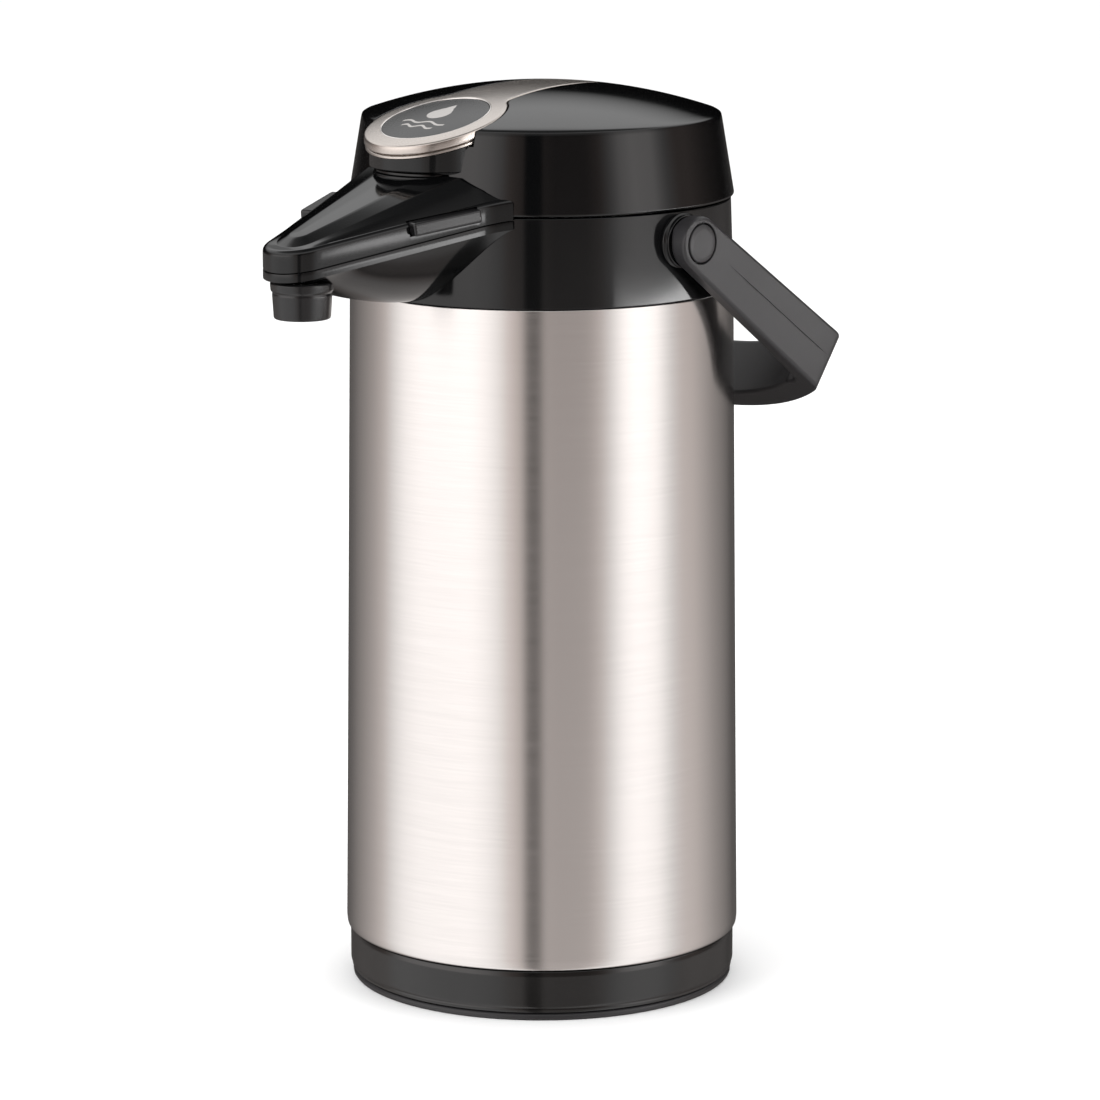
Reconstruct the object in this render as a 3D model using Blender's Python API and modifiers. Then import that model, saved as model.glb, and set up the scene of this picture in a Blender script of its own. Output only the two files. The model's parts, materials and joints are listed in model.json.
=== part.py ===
"""Thermal coffee airpot: a steel vacuum jug with a lever pump, a pouring spout, a carrying bail and a
turntable foot.

Metres, +Z up. The origin is on the body's axis, on the underside of the foot. The spout points along -Y,
the handle's pivots are at +X and -X, and the lid opens on a hinge at +Y.
"""
import math

import bmesh
import bpy
from mathutils import Matrix, Vector

# ------------------------------------------------------------------ driving dimensions
GAP = 0.0003                    # between pieces that touch
MERGE = 0.00001                 # weld distance of turned and curved pieces
TURN_STEPS = 28                 # sides of a large turned piece
SMALL_STEPS = 12                # sides of a small one
INNER_STEPS = 20                # sides of a large piece inside

HEIGHT = 0.3800                 # floor to the top of the dome
FOOT_RADIUS = 0.0806
COVER_BOTTOM_Z = 0.0034
SHELL_BOTTOM_Z = 0.0217
SHELL_TOP_Z = 0.2960
SHELL_BOTTOM_RADIUS = 0.0832
SHELL_TOP_RADIUS = 0.0800
SHELL_WALL = 0.0010

COLLAR_TOP_Z = 0.3330
COLLAR_TOP_RADIUS = 0.0787
COLLAR_DECK_Z = 0.3230
COLLAR_WALL = 0.0025

LID_BOTTOM_Z = 0.3338
LID_BOTTOM_RADIUS = 0.0800
LID_RIM_Z = 0.3675
LID_RIM_RADIUS = 0.0747
LID_WALL = 0.0025
RIM_FILLET = 0.0015

PAD_Y = -0.0625                 # centre of the lever's round pad
PAD_RADIUS = 0.0291
PAD_DEPTH = 0.0058
BAND_DEPTH = 0.0030
BADGE_RADIUS = 0.0223
NOSE_RADIUS = 0.0270            # the lid's nose under the pad
NOSE_BOTTOM_Z = 0.3505
LEVER_PIVOT = (0.0, 0.0240, 0.3700)
LEVER_PIN_RADIUS = 0.0016
TRAY_WALL = 0.0022              # of the lid under the lever's recess
RECESS_GAP = 0.0005

HINGE = (0.0, 0.0820, 0.3370)   # the lid's hinge axis, along X
HINGE_RADIUS = 0.0042
HINGE_PIN_RADIUS = 0.0018

NOZZLE_Y = -0.1383
NOZZLE_BOTTOM_Z = 0.2962
SPOUT_TIP_RADIUS = 0.0157       # of the spout's round tip in plan
SPOUT_TAPER = math.radians(20.4)
SPOUT_WALL = 0.0022
FLARE_WIDTH = 0.0045            # how far each flank widens over the flare's length
FLARE_START_Y = -0.0760
FLARE_LENGTH = 0.0130
HULL_BELLY = 1.85               # power of the hull's section: 2 is a parabola
KEEL_POWER = 1.6                # of the keel's rise towards the tip
SEAM_ROOT_Z = 0.3330            # seam between the spout's two shells, at the collar
SEAM_SLOPE = 0.1897
ROOF_TIP_Z = 0.3280
ROOF_SLOPE = 0.327
BODY_CUT_RADIUS = 0.0804        # the spout's shells stop at this radius

PIVOT_Z = 0.3207                # the handle's axis, along X
ARM_INNER_X = 0.0820
ARM_OUTER_X = 0.0896
ARM_ROOT_RADIUS = 0.0110
ARM_TIP_HALF_WIDTH = 0.0132
CORNER_REACH = 0.1035           # pivot to the bail's outer corner
GRIP_REACH = 0.1325             # pivot to the outer middle of the grip
GRIP_THICKNESS = 0.0120
HANDLE_ANGLE = math.radians(-35.5)
BOSS_RADIUS = 0.0108
CAP_RADIUS = 0.0078
PIVOT_SHAFT_RADIUS = 0.0045

FLASK_RADIUS = 0.0720
LINER_RADIUS = 0.0660
NECK_RADIUS = 0.0338            # inside of the flask's mouth
SUCTION_Y = -0.0294
SUCTION_RADIUS = 0.0038
PIPE_RADIUS = 0.0045
PLUG_RADIUS = 0.0180
BELLOWS_RADIUS = 0.0400
BELLOWS_BOTTOM_Z = 0.3373
BELLOWS_TOP_Z = 0.3537
SCREW_PLACES = ((0.052, 0.030), (-0.052, 0.030), (0.055, -0.020), (-0.055, -0.020))

CATCH_LENGTH = 0.0300
CATCH_HEIGHT = 0.0054
CATCH_CENTRE = (0.0345, -0.0925, 0.3333)
CATCH_PROUD = 0.0036
CATCH_DEPTH = 0.0078
CATCH_ROOM = 0.0018             # space behind a catch for its travel

# radius of the dome from its height and its rim
DOME_RISE = HEIGHT - LID_RIM_Z
DOME_RADIUS = (LID_RIM_RADIUS ** 2 + DOME_RISE ** 2) / (2 * DOME_RISE)


# ------------------------------------------------------------------ scene
for old in list(bpy.data.objects):
    bpy.data.objects.remove(old, do_unlink=True)

parts = bpy.data.collections.new("thermal_coffee_airpot")
cutters = bpy.data.collections.new("cutters")
bpy.context.scene.collection.children.link(parts)
bpy.context.scene.collection.children.link(cutters)


def material(name, colour, roughness, metallic=0.0):
    made = bpy.data.materials.new(name)
    made.use_nodes = True
    shader = made.node_tree.nodes["Principled BSDF"]
    shader.inputs["Base Color"].default_value = (*colour, 1.0)
    shader.inputs["Roughness"].default_value = roughness
    shader.inputs["Metallic"].default_value = metallic
    return made


BRUSHED_STEEL = material("brushed_steel", (0.62, 0.60, 0.58), 0.30, 1.0)
GLOSS_BLACK = material("gloss_black", (0.012, 0.012, 0.013), 0.16)
SATIN_BLACK = material("satin_black", (0.035, 0.034, 0.036), 0.42)
SILVER = material("silver_lever", (0.50, 0.46, 0.43), 0.28, 0.9)
BADGE_GREY = material("badge_grey", (0.06, 0.06, 0.06), 0.30)
FLASK_STEEL = material("flask_steel", (0.60, 0.60, 0.60), 0.20, 1.0)
SEAL_RUBBER = material("seal_rubber", (0.30, 0.30, 0.30), 0.70)
PUMP_RUBBER = material("pump_rubber", (0.10, 0.10, 0.10), 0.75)
CLEAR_PIPE = material("pipe_plastic", (0.75, 0.75, 0.72), 0.40)
PIN_STEEL = material("pin_steel", (0.55, 0.55, 0.55), 0.25, 1.0)


# ------------------------------------------------------------------ modelling tools
def add_object(name, mesh, look=None, place=(0, 0, 0)):
    """A named piece with a material, or a cutter when it has none."""
    made = bpy.data.objects.new(name, mesh)
    made.location = place
    if look is None:
        cutters.objects.link(made)
        made.hide_render = True
        made.display_type = "WIRE"
    else:
        parts.objects.link(made)
        mesh.materials.append(look)
    return made


def turned(name, profile, look=None, ring=True, steps=TURN_STEPS, place=(0, 0, 0)):
    """A turned piece: the profile runs down its outer side. A ring's profile is a closed loop."""
    mesh = bpy.data.meshes.new(name)
    count = len(profile)
    edges = [(i, i + 1) for i in range(count - 1)]
    if ring:
        edges.append((count - 1, 0))
    mesh.from_pydata([(radius, 0, z) for radius, z in profile], edges, [])
    made = add_object(name, mesh, look, place)
    screw = made.modifiers.new("turn", "SCREW")
    screw.steps = screw.render_steps = steps
    screw.use_merge_vertices = True
    screw.merge_threshold = MERGE
    return made


def from_bmesh(name, bm, look=None):
    mesh = bpy.data.meshes.new(name)
    bm.to_mesh(mesh)
    bm.free()
    return add_object(name, mesh, look)


def box(name, low, high, look=None):
    bm = bmesh.new()
    bmesh.ops.create_cube(bm, size=1.0)
    size = [b - a for a, b in zip(low, high)]
    centre = [(a + b) / 2 for a, b in zip(low, high)]
    bmesh.ops.scale(bm, vec=size, verts=bm.verts)
    bmesh.ops.translate(bm, vec=centre, verts=bm.verts)
    return from_bmesh(name, bm, look)


def rod(name, radius, start, end, look=None, steps=SMALL_STEPS, end_radius=None):
    """A cylinder or cone between two points."""
    start, end = Vector(start), Vector(end)
    run = end - start
    turn = Vector((0, 0, 1)).rotation_difference(run.normalized()).to_matrix().to_4x4()
    bm = bmesh.new()
    bmesh.ops.create_cone(bm, cap_ends=True, segments=steps, radius1=radius,
                          radius2=radius if end_radius is None else end_radius, depth=run.length)
    bmesh.ops.transform(bm, matrix=Matrix.Translation((start + end) / 2) @ turn, verts=bm.verts)
    return from_bmesh(name, bm, look)


def curve_mesh(name, curve, look=None, matrix=Matrix(), weld=True):
    """A curve made into a welded mesh object."""
    guide = bpy.data.objects.new(name + "_curve", curve)
    cutters.objects.link(guide)
    guide.matrix_world = matrix
    bpy.context.view_layer.update()
    evaluated = guide.evaluated_get(bpy.context.evaluated_depsgraph_get())
    mesh = bpy.data.meshes.new_from_object(evaluated)
    mesh.materials.clear()
    if weld:
        bm = bmesh.new()
        bm.from_mesh(mesh)
        bmesh.ops.remove_doubles(bm, verts=bm.verts, dist=MERGE)
        bm.to_mesh(mesh)
        bm.free()
    made = add_object(name, mesh, look)
    made.matrix_world = matrix
    bpy.data.objects.remove(guide)
    return made


def prism(name, outline, thickness, look=None, matrix=Matrix()):
    """A flat outline in its own XY plane, extruded to both sides by half its thickness."""
    curve = bpy.data.curves.new(name, "CURVE")
    curve.dimensions = "2D"
    curve.fill_mode = "BOTH"
    curve.extrude = thickness / 2
    spline = curve.splines.new("POLY")
    spline.points.add(len(outline) - 1)
    for point, (x, y) in zip(spline.points, outline):
        point.co = (x, y, 0, 1)
    spline.use_cyclic_u = True
    return curve_mesh(name, curve, look, matrix)


def wire(name, points, radius, look=None, caps=True, resolution=2):
    """A round tube or wire along points."""
    curve = bpy.data.curves.new(name, "CURVE")
    curve.dimensions = "3D"
    curve.bevel_depth = radius
    curve.bevel_resolution = resolution
    curve.use_fill_caps = caps
    spline = curve.splines.new("POLY")
    spline.points.add(len(points) - 1)
    for point, co in zip(spline.points, points):
        point.co = (*co, 1)
    return curve_mesh(name, curve, look)


def boolean(piece, tool, operation="DIFFERENCE"):
    change = piece.modifiers.new(tool.name, "BOOLEAN")
    change.operation = operation
    change.object = tool
    change.solver = "EXACT"


def cut(piece, *tools):
    for tool in tools:
        boolean(piece, tool)


def join(piece, *tools):
    for tool in tools:
        boolean(piece, tool, "UNION")


def arc(centre, radius, start, end, count):
    """Points of a circle's arc between two angles in degrees, both ends included."""
    angles = [math.radians(start + (end - start) * i / (count - 1)) for i in range(count)]
    return [(centre[0] + radius * math.cos(a), centre[1] + radius * math.sin(a)) for a in angles]


def mirrored(outline):
    """A half outline at +X, from its first point on the axis to its last, closed on the other side."""
    other = [(-x, y) for x, y in reversed(outline) if x > MERGE]
    return outline + other


def dome_z(radius, depth=0.0):
    """Height of the dome, or of the surface that lies a depth under it, at a distance from the axis."""
    sphere = DOME_RADIUS - depth
    return HEIGHT - DOME_RADIUS + math.sqrt(sphere ** 2 - radius ** 2)


def dome_arc(outer_radius, depth=0.0, count=5):
    radii = [outer_radius * i / (count - 1) for i in range(count)]
    return [(radius, dome_z(radius, depth)) for radius in radii]


def dome_layer(name, top_depth, bottom_depth, look=None, reach=0.105):
    """The layer between two depths under the dome's sphere, reaching past the rim."""
    outer = dome_arc(reach, top_depth)
    inner = list(reversed(dome_arc(reach, bottom_depth)))
    return turned(name, outer + inner, look, ring=False)


def column(name, outline, look=None, low=0.34, high=0.40):
    """An upright prism over a plan outline."""
    place = Matrix.Translation((0, 0, (low + high) / 2))
    return prism(name, outline, high - low, look, place)


# ------------------------------------------------------------------ foot, bottom and shell
def make_swivel_foot():
    profile = [(0, 0.0030), (0.0052, 0.0030), (0.0052, 0.0100), (0.0085, 0.0100), (0.0085, 0.0045),
               (0.0700, 0.0045), (0.0712, 0.0030), (0.0796, 0.0030), (FOOT_RADIUS, 0.0022),
               (FOOT_RADIUS, 0.0008), (0.0798, 0), (0.0600, 0), (0.0600, 0.0015), (0.0150, 0.0015),
               (0.0150, 0), (0, 0)]
    turned("swivel_foot", profile, SATIN_BLACK, ring=False)


def make_bottom_cover():
    profile = [(0.0770, 0.0360), (0.0795, 0.0360), (0.0795, 0.0213), (0.0808, 0.0213), (0.0816, 0.0205),
               (0.0816, 0.0045), (0.0808, COVER_BOTTOM_Z), (0.0740, COVER_BOTTOM_Z), (0.0740, 0.0110),
               (0.0040, 0.0110), (0.0040, 0.0135), (0.0765, 0.0135), (0.0770, 0.0142)]
    turned("bottom_cover", profile, GLOSS_BLACK)


def make_turntable():
    ring = [(0.0560, 0.0107), (0.0640, 0.0107), (0.0640, 0.0048), (0.0560, 0.0048)]
    turned("turntable_ring", ring, SEAL_RUBBER)
    profile = [(0, 0.0165), (0.0066, 0.0165), (0.0075, 0.0156), (0.0075, 0.0138), (0.0036, 0.0138),
               (0.0036, 0.0045), (0.0026, 0.0034), (0, 0.0034)]
    turned("swivel_pin", profile, PIN_STEEL, ring=False, steps=SMALL_STEPS)


def make_steel_shell():
    outer = [(SHELL_TOP_RADIUS, SHELL_TOP_Z), (SHELL_BOTTOM_RADIUS, 0.0245), (0.0829, 0.0226),
             (0.0820, SHELL_BOTTOM_Z)]
    inner = [(0.0812, SHELL_BOTTOM_Z), (0.0814, 0.0230), (SHELL_BOTTOM_RADIUS - SHELL_WALL, 0.0252),
             (SHELL_TOP_RADIUS - SHELL_WALL, SHELL_TOP_Z)]
    turned("steel_shell", outer + inner, BRUSHED_STEEL)


# ------------------------------------------------------------------ vacuum flask
def make_flask():
    outer_in = [(0, 0.0253), (0.0446, 0.0253), (0.0600, 0.0284), (0.0712, 0.0450), (0.0712, 0.2450),
                (0.0640, 0.2640), (0.0470, 0.2740), (0.0354, 0.2800), (0.0354, 0.2900)]
    outer_out = [(0.0362, 0.2900), (0.0362, 0.2806), (0.0474, 0.2748), (0.0646, 0.2646),
                 (FLASK_RADIUS, 0.2455), (FLASK_RADIUS, 0.0447), (0.0604, 0.0276), (0.0450, 0.0245),
                 (0, 0.0245)]
    turned("flask_outer_wall", outer_in + outer_out, FLASK_STEEL, ring=False, steps=INNER_STEPS)
    liner_in = [(0, 0.0338), (0.0480, 0.0338), (0.0610, 0.0390), (0.0652, 0.0500), (0.0652, 0.2370),
                (0.0590, 0.2530), (0.0430, 0.2630), (NECK_RADIUS, 0.2700), (NECK_RADIUS, 0.2915)]
    liner_out = [(0.0362, 0.2915), (0.0362, 0.2904), (0.0350, 0.2904), (0.0346, 0.2706), (0.0436, 0.2638),
                 (0.0597, 0.2536), (LINER_RADIUS, 0.2374), (LINER_RADIUS, 0.0497), (0.0616, 0.0383),
                 (0.0484, 0.0330), (0, 0.0330)]
    turned("flask_liner", liner_in + liner_out, FLASK_STEEL, ring=False, steps=INNER_STEPS)
    cushion = [(0.0300, 0.0242), (0.0440, 0.0242), (0.0480, 0.0139), (0.0300, 0.0139)]
    turned("flask_cushion", cushion, PUMP_RUBBER)
    turned("neck_seal", [(0.0345, 0.2950), (0.0385, 0.2950), (0.0385, 0.2918), (0.0345, 0.2918)], SEAL_RUBBER)


# ------------------------------------------------------------------ collar
def make_collar():
    outer = [(COLLAR_TOP_RADIUS - 0.0004, COLLAR_TOP_Z), (COLLAR_TOP_RADIUS, COLLAR_TOP_Z - 0.0005),
             (SHELL_TOP_RADIUS, SHELL_TOP_Z + GAP), (0.0782, SHELL_TOP_Z + GAP), (0.0782, 0.2860),
             (0.0762, 0.2860)]
    under = [(0.0762, 0.3205), (0.0425, 0.3205), (0.0402, 0.2953), (0.0350, 0.2953)]
    inside = [(0.0350, 0.2970), (0.0380, 0.2970), (0.0400, COLLAR_DECK_Z), (0.0762, COLLAR_DECK_Z),
              (0.0762, COLLAR_TOP_Z)]
    collar = turned("collar", outer + under + inside, GLOSS_BLACK)
    for side in (1, -1):
        wall_x = side * (COLLAR_TOP_RADIUS - COLLAR_WALL)
        boss_x = side * (ARM_INNER_X - 0.0012)
        boss = rod("boss", BOSS_RADIUS, (wall_x, 0, PIVOT_Z), (boss_x, 0, PIVOT_Z), steps=16)
        join(collar, boss)
        start, end = (side * 0.070, 0, PIVOT_Z), (side * 0.090, 0, PIVOT_Z)
        socket = rod("socket", PIVOT_SHAFT_RADIUS + GAP, start, end)
        cut(collar, socket)
    y, z = HINGE[1], HINGE[2]
    base = box("hinge_base", (-0.0165, 0.0765, 0.3250), (0.0165, y + HINGE_RADIUS, 0.3318))
    join(collar, base)
    for side in (1, -1):
        low_x, high_x = sorted((side * 0.0102, side * 0.0160))
        ear_post = box("ear_post", (low_x, y - 0.0012, 0.3300), (high_x, y + HINGE_RADIUS, z))
        ear = rod("ear", HINGE_RADIUS, (low_x, y, z), (high_x, y, z))
        join(collar, ear_post, ear)
    cut(collar, rod("hinge_hole", HINGE_PIN_RADIUS + GAP, (-0.02, y, z), (0.02, y, z)))
    pipe_hole = rod("pipe_hole", PIPE_RADIUS + 0.0006, (0, -0.034, 0.3148), (0, -0.090, 0.3153))
    cut(collar, pipe_hole)
    rod("lid_hinge_pin", HINGE_PIN_RADIUS, (-0.0172, y, z), (0.0172, y, z), PIN_STEEL, steps=16)


# ------------------------------------------------------------------ spout
def spout_half_width(y):
    """Half width of the spout in plan: a round tip, a straight taper and a flare at the collar."""
    tangent_x = SPOUT_TIP_RADIUS * math.cos(SPOUT_TAPER)
    tangent_y = NOZZLE_Y - SPOUT_TIP_RADIUS * math.sin(SPOUT_TAPER)
    if y < tangent_y:
        return math.sqrt(max(SPOUT_TIP_RADIUS ** 2 - (y - NOZZLE_Y) ** 2, 0))
    flare = FLARE_WIDTH * max((y - FLARE_START_Y) / FLARE_LENGTH, 0) ** 2
    return tangent_x + (y - tangent_y) * math.tan(SPOUT_TAPER) + flare


def seam_z(y):
    return SEAM_ROOT_Z + (y + 0.0630) * SEAM_SLOPE


def roof_section(y):
    """Half section of the roof at one station, from the seam up over the wall to the ridge."""
    width = spout_half_width(y)
    seam = seam_z(y)
    ridge = ROOF_TIP_Z + (y + 0.1478) * ROOF_SLOPE
    wall_top = seam + 0.0088
    ridge = max(ridge, wall_top + 0.0012)
    edge = min(0.0018, width * 0.3)
    return [(width, seam), (width, wall_top - edge), (width - 0.3 * edge, wall_top - 0.3 * edge),
            (width - edge, wall_top), (0.62 * width, ridge - 0.0014), (0.32 * width, ridge - 0.0004),
            (0, ridge)]


def hull_section(y, count=6):
    """Half section of the hull at one station, from the seam down the side to the keel."""
    width = spout_half_width(y)
    seam = seam_z(y) - GAP
    wall = min(0.0034, width)
    keel = hull_keel_z(y)
    points = [(width, seam)]
    for i in range(count):
        share = 1 - i / (count - 1)
        drop = 1 - share ** HULL_BELLY
        points.append((width * share, seam - wall - (seam - wall - keel) * drop))
    return points


def hull_keel_z(y):
    """The keel is level with the collar's lower edge and rises to the lip at the tip."""
    if y < NOZZLE_Y:
        away = (NOZZLE_Y - y) / SPOUT_TIP_RADIUS
        return 0.3085 + 0.0040 * away ** 3
    rise = min(max((-0.0800 - y) / (-0.0800 - NOZZLE_Y), 0), 1)
    return 0.2966 + 0.0119 * rise ** KEEL_POWER


def spout_stations():
    """Stations along the spout, from inside the collar to the tip."""
    straight = [-0.0600, -0.0650, -0.0720, -0.0800, -0.0880, -0.1040, -0.1200, -0.1330]
    tip = [NOZZLE_Y - SPOUT_TIP_RADIUS * math.sin(math.radians(a)) for a in (12, 33, 52, 68, 81)]
    return straight + tip


def lofted_skin(name, sections, look, thickness, flip=False):
    """An open skin through mirrored half sections, its last one closed, thickened inwards."""
    bm = bmesh.new()
    rings = []
    for y, half in sections:
        full = half + [(-x, z) for x, z in reversed(half[:-1])]
        rings.append([bm.verts.new((x, y, z)) for x, z in full])
    for first, second in zip(rings, rings[1:]):
        for i in range(len(first) - 1):
            bm.faces.new((first[i], first[i + 1], second[i + 1], second[i]))
    bm.faces.new(rings[-1])
    bmesh.ops.recalc_face_normals(bm, faces=bm.faces)
    skin = from_bmesh(name, bm, look)
    solid = skin.modifiers.new("wall", "SOLIDIFY")
    solid.thickness = thickness
    solid.offset = 1 if flip else -1
    solid.use_even_offset = False
    return skin


def make_spout():
    body_cut = rod("body_cut", BODY_CUT_RADIUS, (0, 0, 0.280), (0, 0, 0.400), steps=56)
    upper = lofted_skin("spout_upper_shell", [(y, roof_section(y)) for y in spout_stations()],
                        GLOSS_BLACK, SPOUT_WALL)
    ring = rod("roof_ring", 0.0250, (0, PAD_Y, 0.3400), (0, PAD_Y, NOSE_BOTTOM_Z - 0.0005), steps=24)
    ring_bore = rod("roof_bore", 0.0225, (0, PAD_Y, 0.3300), (0, PAD_Y, 0.3600), steps=24)
    cut(ring, ring_bore)
    join(upper, ring)
    cut(upper, body_cut)
    lower = lofted_skin("spout_lower_shell", [(y, hull_section(y)) for y in spout_stations()],
                        GLOSS_BLACK, SPOUT_WALL)
    outlet = rod("outlet_hole", 0.0112, (0, NOZZLE_Y, 0.2900), (0, NOZZLE_Y, 0.3150), steps=24)
    cut(lower, body_cut, outlet)
    for side in (1, -1):
        name = "side_catch_right" if side > 0 else "side_catch_left"
        make_catch(name, side, upper)
    profile = [(0.0052, 0.3102), (0.0109, 0.3102), (0.0109, 0.3062), (0.0115, NOZZLE_BOTTOM_Z + 0.0006),
               (0.0111, NOZZLE_BOTTOM_Z), (0.0088, NOZZLE_BOTTOM_Z), (0.0060, 0.3010)]
    return profile


def make_catch(name, side, upper):
    """A tab in a slot of the spout's flank, pressed square to the flank."""
    angle = -side * SPOUT_TAPER
    turn = Matrix.Translation((side * CATCH_CENTRE[0], CATCH_CENTRE[1], CATCH_CENTRE[2]))
    turn = turn @ Matrix.Rotation(angle, 4, "Z") @ Matrix.Rotation(math.radians(8), 4, "X")
    for kind, grow, room in (("tab", 0.0, 0.0), ("slot", 0.0004, CATCH_ROOM)):
        bm = bmesh.new()
        bmesh.ops.create_cube(bm, size=1.0)
        size = (CATCH_DEPTH + 4 * grow + room, CATCH_LENGTH + 2 * grow, CATCH_HEIGHT + 2 * grow)
        bmesh.ops.scale(bm, vec=size, verts=bm.verts)
        offset = side * (CATCH_PROUD - CATCH_DEPTH / 2 - room / 2)
        bmesh.ops.translate(bm, vec=(offset, 0, 0), verts=bm.verts)
        piece = from_bmesh(name if kind == "tab" else "slot", bm, SATIN_BLACK if kind == "tab" else None)
        piece.matrix_world = turn
        if kind == "tab":
            bevel = piece.modifiers.new("edge", "BEVEL")
            bevel.width = 0.0008
            bevel.segments = 2
        else:
            cut(upper, piece)


# ------------------------------------------------------------------ lid
def lever_outline(grow=0.0):
    """Plan of the lever: the pad's circle and a tongue that narrows to a round tip."""
    radius = PAD_RADIUS + grow
    pad = [(x, y) for x, y in arc((0, PAD_Y), radius, -90, 52, 10)]
    neck = [(0.0158 + grow, -0.0350), (0.0150 + grow, -0.0240), (0.0137 + grow, -0.0090),
            (0.0125 + grow, 0.0050), (0.0101 + grow, 0.0170)]
    tip = arc((0, 0.0230), 0.0082 + grow, 20, 90, 4)
    return mirrored(pad + neck + tip)


def make_lid_cover():
    rim = [(LID_RIM_RADIUS - RIM_FILLET, dome_z(LID_RIM_RADIUS - RIM_FILLET)),
           (LID_RIM_RADIUS - 0.0003, LID_RIM_Z - 0.0006), (LID_RIM_RADIUS + 0.0001, LID_RIM_Z - 0.0018)]
    outer = dome_arc(LID_RIM_RADIUS - RIM_FILLET - 0.002, count=6) + rim
    skirt = [(LID_BOTTOM_RADIUS, LID_BOTTOM_Z + 0.0008), (LID_BOTTOM_RADIUS - 0.0006, LID_BOTTOM_Z),
             (LID_BOTTOM_RADIUS - LID_WALL, LID_BOTTOM_Z), (LID_RIM_RADIUS - LID_WALL, LID_RIM_Z - 0.0040)]
    inner = list(reversed(dome_arc(LID_RIM_RADIUS - LID_WALL - 0.001, LID_WALL, count=4)))
    lid = turned("lid_cover", outer + skirt + inner, GLOSS_BLACK, ring=False)

    nose = rod("nose", NOSE_RADIUS, (0, PAD_Y, NOSE_BOTTOM_Z), (0, PAD_Y, 0.3690), steps=24)
    cut(nose, box("nose_back", (-0.04, -0.0480, 0.3400), (0.04, -0.0200, 0.3662)))
    nose_hollow = rod("nose_hollow", NOSE_RADIUS - LID_WALL, (0, PAD_Y, 0.3400), (0, PAD_Y, 0.3545), steps=24)
    pad_tray = dome_layer("pad_tray", 0.0012, PAD_DEPTH + RECESS_GAP + TRAY_WALL)
    tray_plan = circle_outline(PAD_RADIUS + RECESS_GAP + TRAY_WALL)
    boolean(pad_tray, column("pad_tray_plan", tray_plan), "INTERSECT")
    inside_skirt = rod("inside_skirt", LID_RIM_RADIUS - 0.0004, (0, 0, 0.3400), (0, 0, 0.4000),
                       steps=TURN_STEPS)
    boolean(pad_tray, inside_skirt, "INTERSECT")
    band_tray = dome_layer("band_tray", 0.0012, BAND_DEPTH + RECESS_GAP + TRAY_WALL)
    boolean(band_tray, column("band_tray_plan", band_outline(0.0025)), "INTERSECT")
    join(lid, nose, pad_tray, band_tray)

    cut(lid, nose_hollow)
    pad_recess = dome_layer("pad_recess", -0.0080, PAD_DEPTH + RECESS_GAP)
    recess_plan = circle_outline(PAD_RADIUS + RECESS_GAP)
    boolean(pad_recess, column("pad_recess_plan", recess_plan, high=0.42), "INTERSECT")
    band_recess = dome_layer("band_recess", -0.0080, BAND_DEPTH + RECESS_GAP)
    boolean(band_recess, column("band_recess_plan", band_outline(RECESS_GAP), high=0.42), "INTERSECT")
    cut(lid, pad_recess, band_recess)

    cut(lid, rod("post_hole", 0.0072, (0, 0, 0.3650), (0, 0, 0.3900)))
    cut(lid, box("tail_slot", (-0.0106, 0.0150, 0.3600), (0.0106, 0.0345, 0.3900)))
    pivot_y, pivot_z = LEVER_PIVOT[1:]
    for side in (1, -1):
        low_x, high_x = sorted((side * 0.0100, side * 0.0135))
        lug = box("lever_lug", (low_x, pivot_y - 0.0035, pivot_z - 0.0035),
                  (high_x, pivot_y + 0.0035, 0.3768))
        join(lid, lug)
    hole_start, hole_end = (-0.02, pivot_y, pivot_z), (0.02, pivot_y, pivot_z)
    cut(lid, rod("lever_hole", LEVER_PIN_RADIUS + GAP, hole_start, hole_end, steps=16))

    y, z = HINGE[1], HINGE[2]
    for side in (1, -1):
        low_x, high_x = sorted((side * 0.0098, side * 0.0164))
        cut(lid, rod("ear_room", HINGE_RADIUS + 0.0006, (low_x, y, z), (high_x, y, z)))
    web = box("hinge_web", (-0.0096, 0.0768, 0.3342), (0.0096, y, z + HINGE_RADIUS))
    knuckle = rod("knuckle", HINGE_RADIUS, (-0.0096, y, z), (0.0096, y, z))
    join(lid, web, knuckle)
    cut(lid, rod("knuckle_hole", HINGE_PIN_RADIUS + GAP, (-0.02, y, z), (0.02, y, z), steps=16))

    for place in SCREW_PLACES:
        post_top = dome_z(math.hypot(*place), 0.0010)
        post = rod("screw_post", 0.0042, (*place, 0.3373), (*place, post_top), steps=16)
        hole = rod("screw_hole", 0.0018, (*place, 0.3300), (*place, 0.3460), steps=12)
        join(lid, post)
        cut(lid, hole)


def circle_outline(radius, count=24):
    return arc((0, PAD_Y), radius, 0, 360 - 360 / count, count)


def band_outline(grow):
    """Plan of the tongue alone, from the pad's centre to its tip."""
    half = [(0.0001, PAD_Y), (0.0190 + grow, PAD_Y)]
    half += [point for point in lever_outline(grow) if point[0] > 0 and point[1] > PAD_Y + 0.017]
    tail = [(0.0, 0.0230 + 0.0082 + grow)]
    return mirrored(half[1:] + tail)


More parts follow.
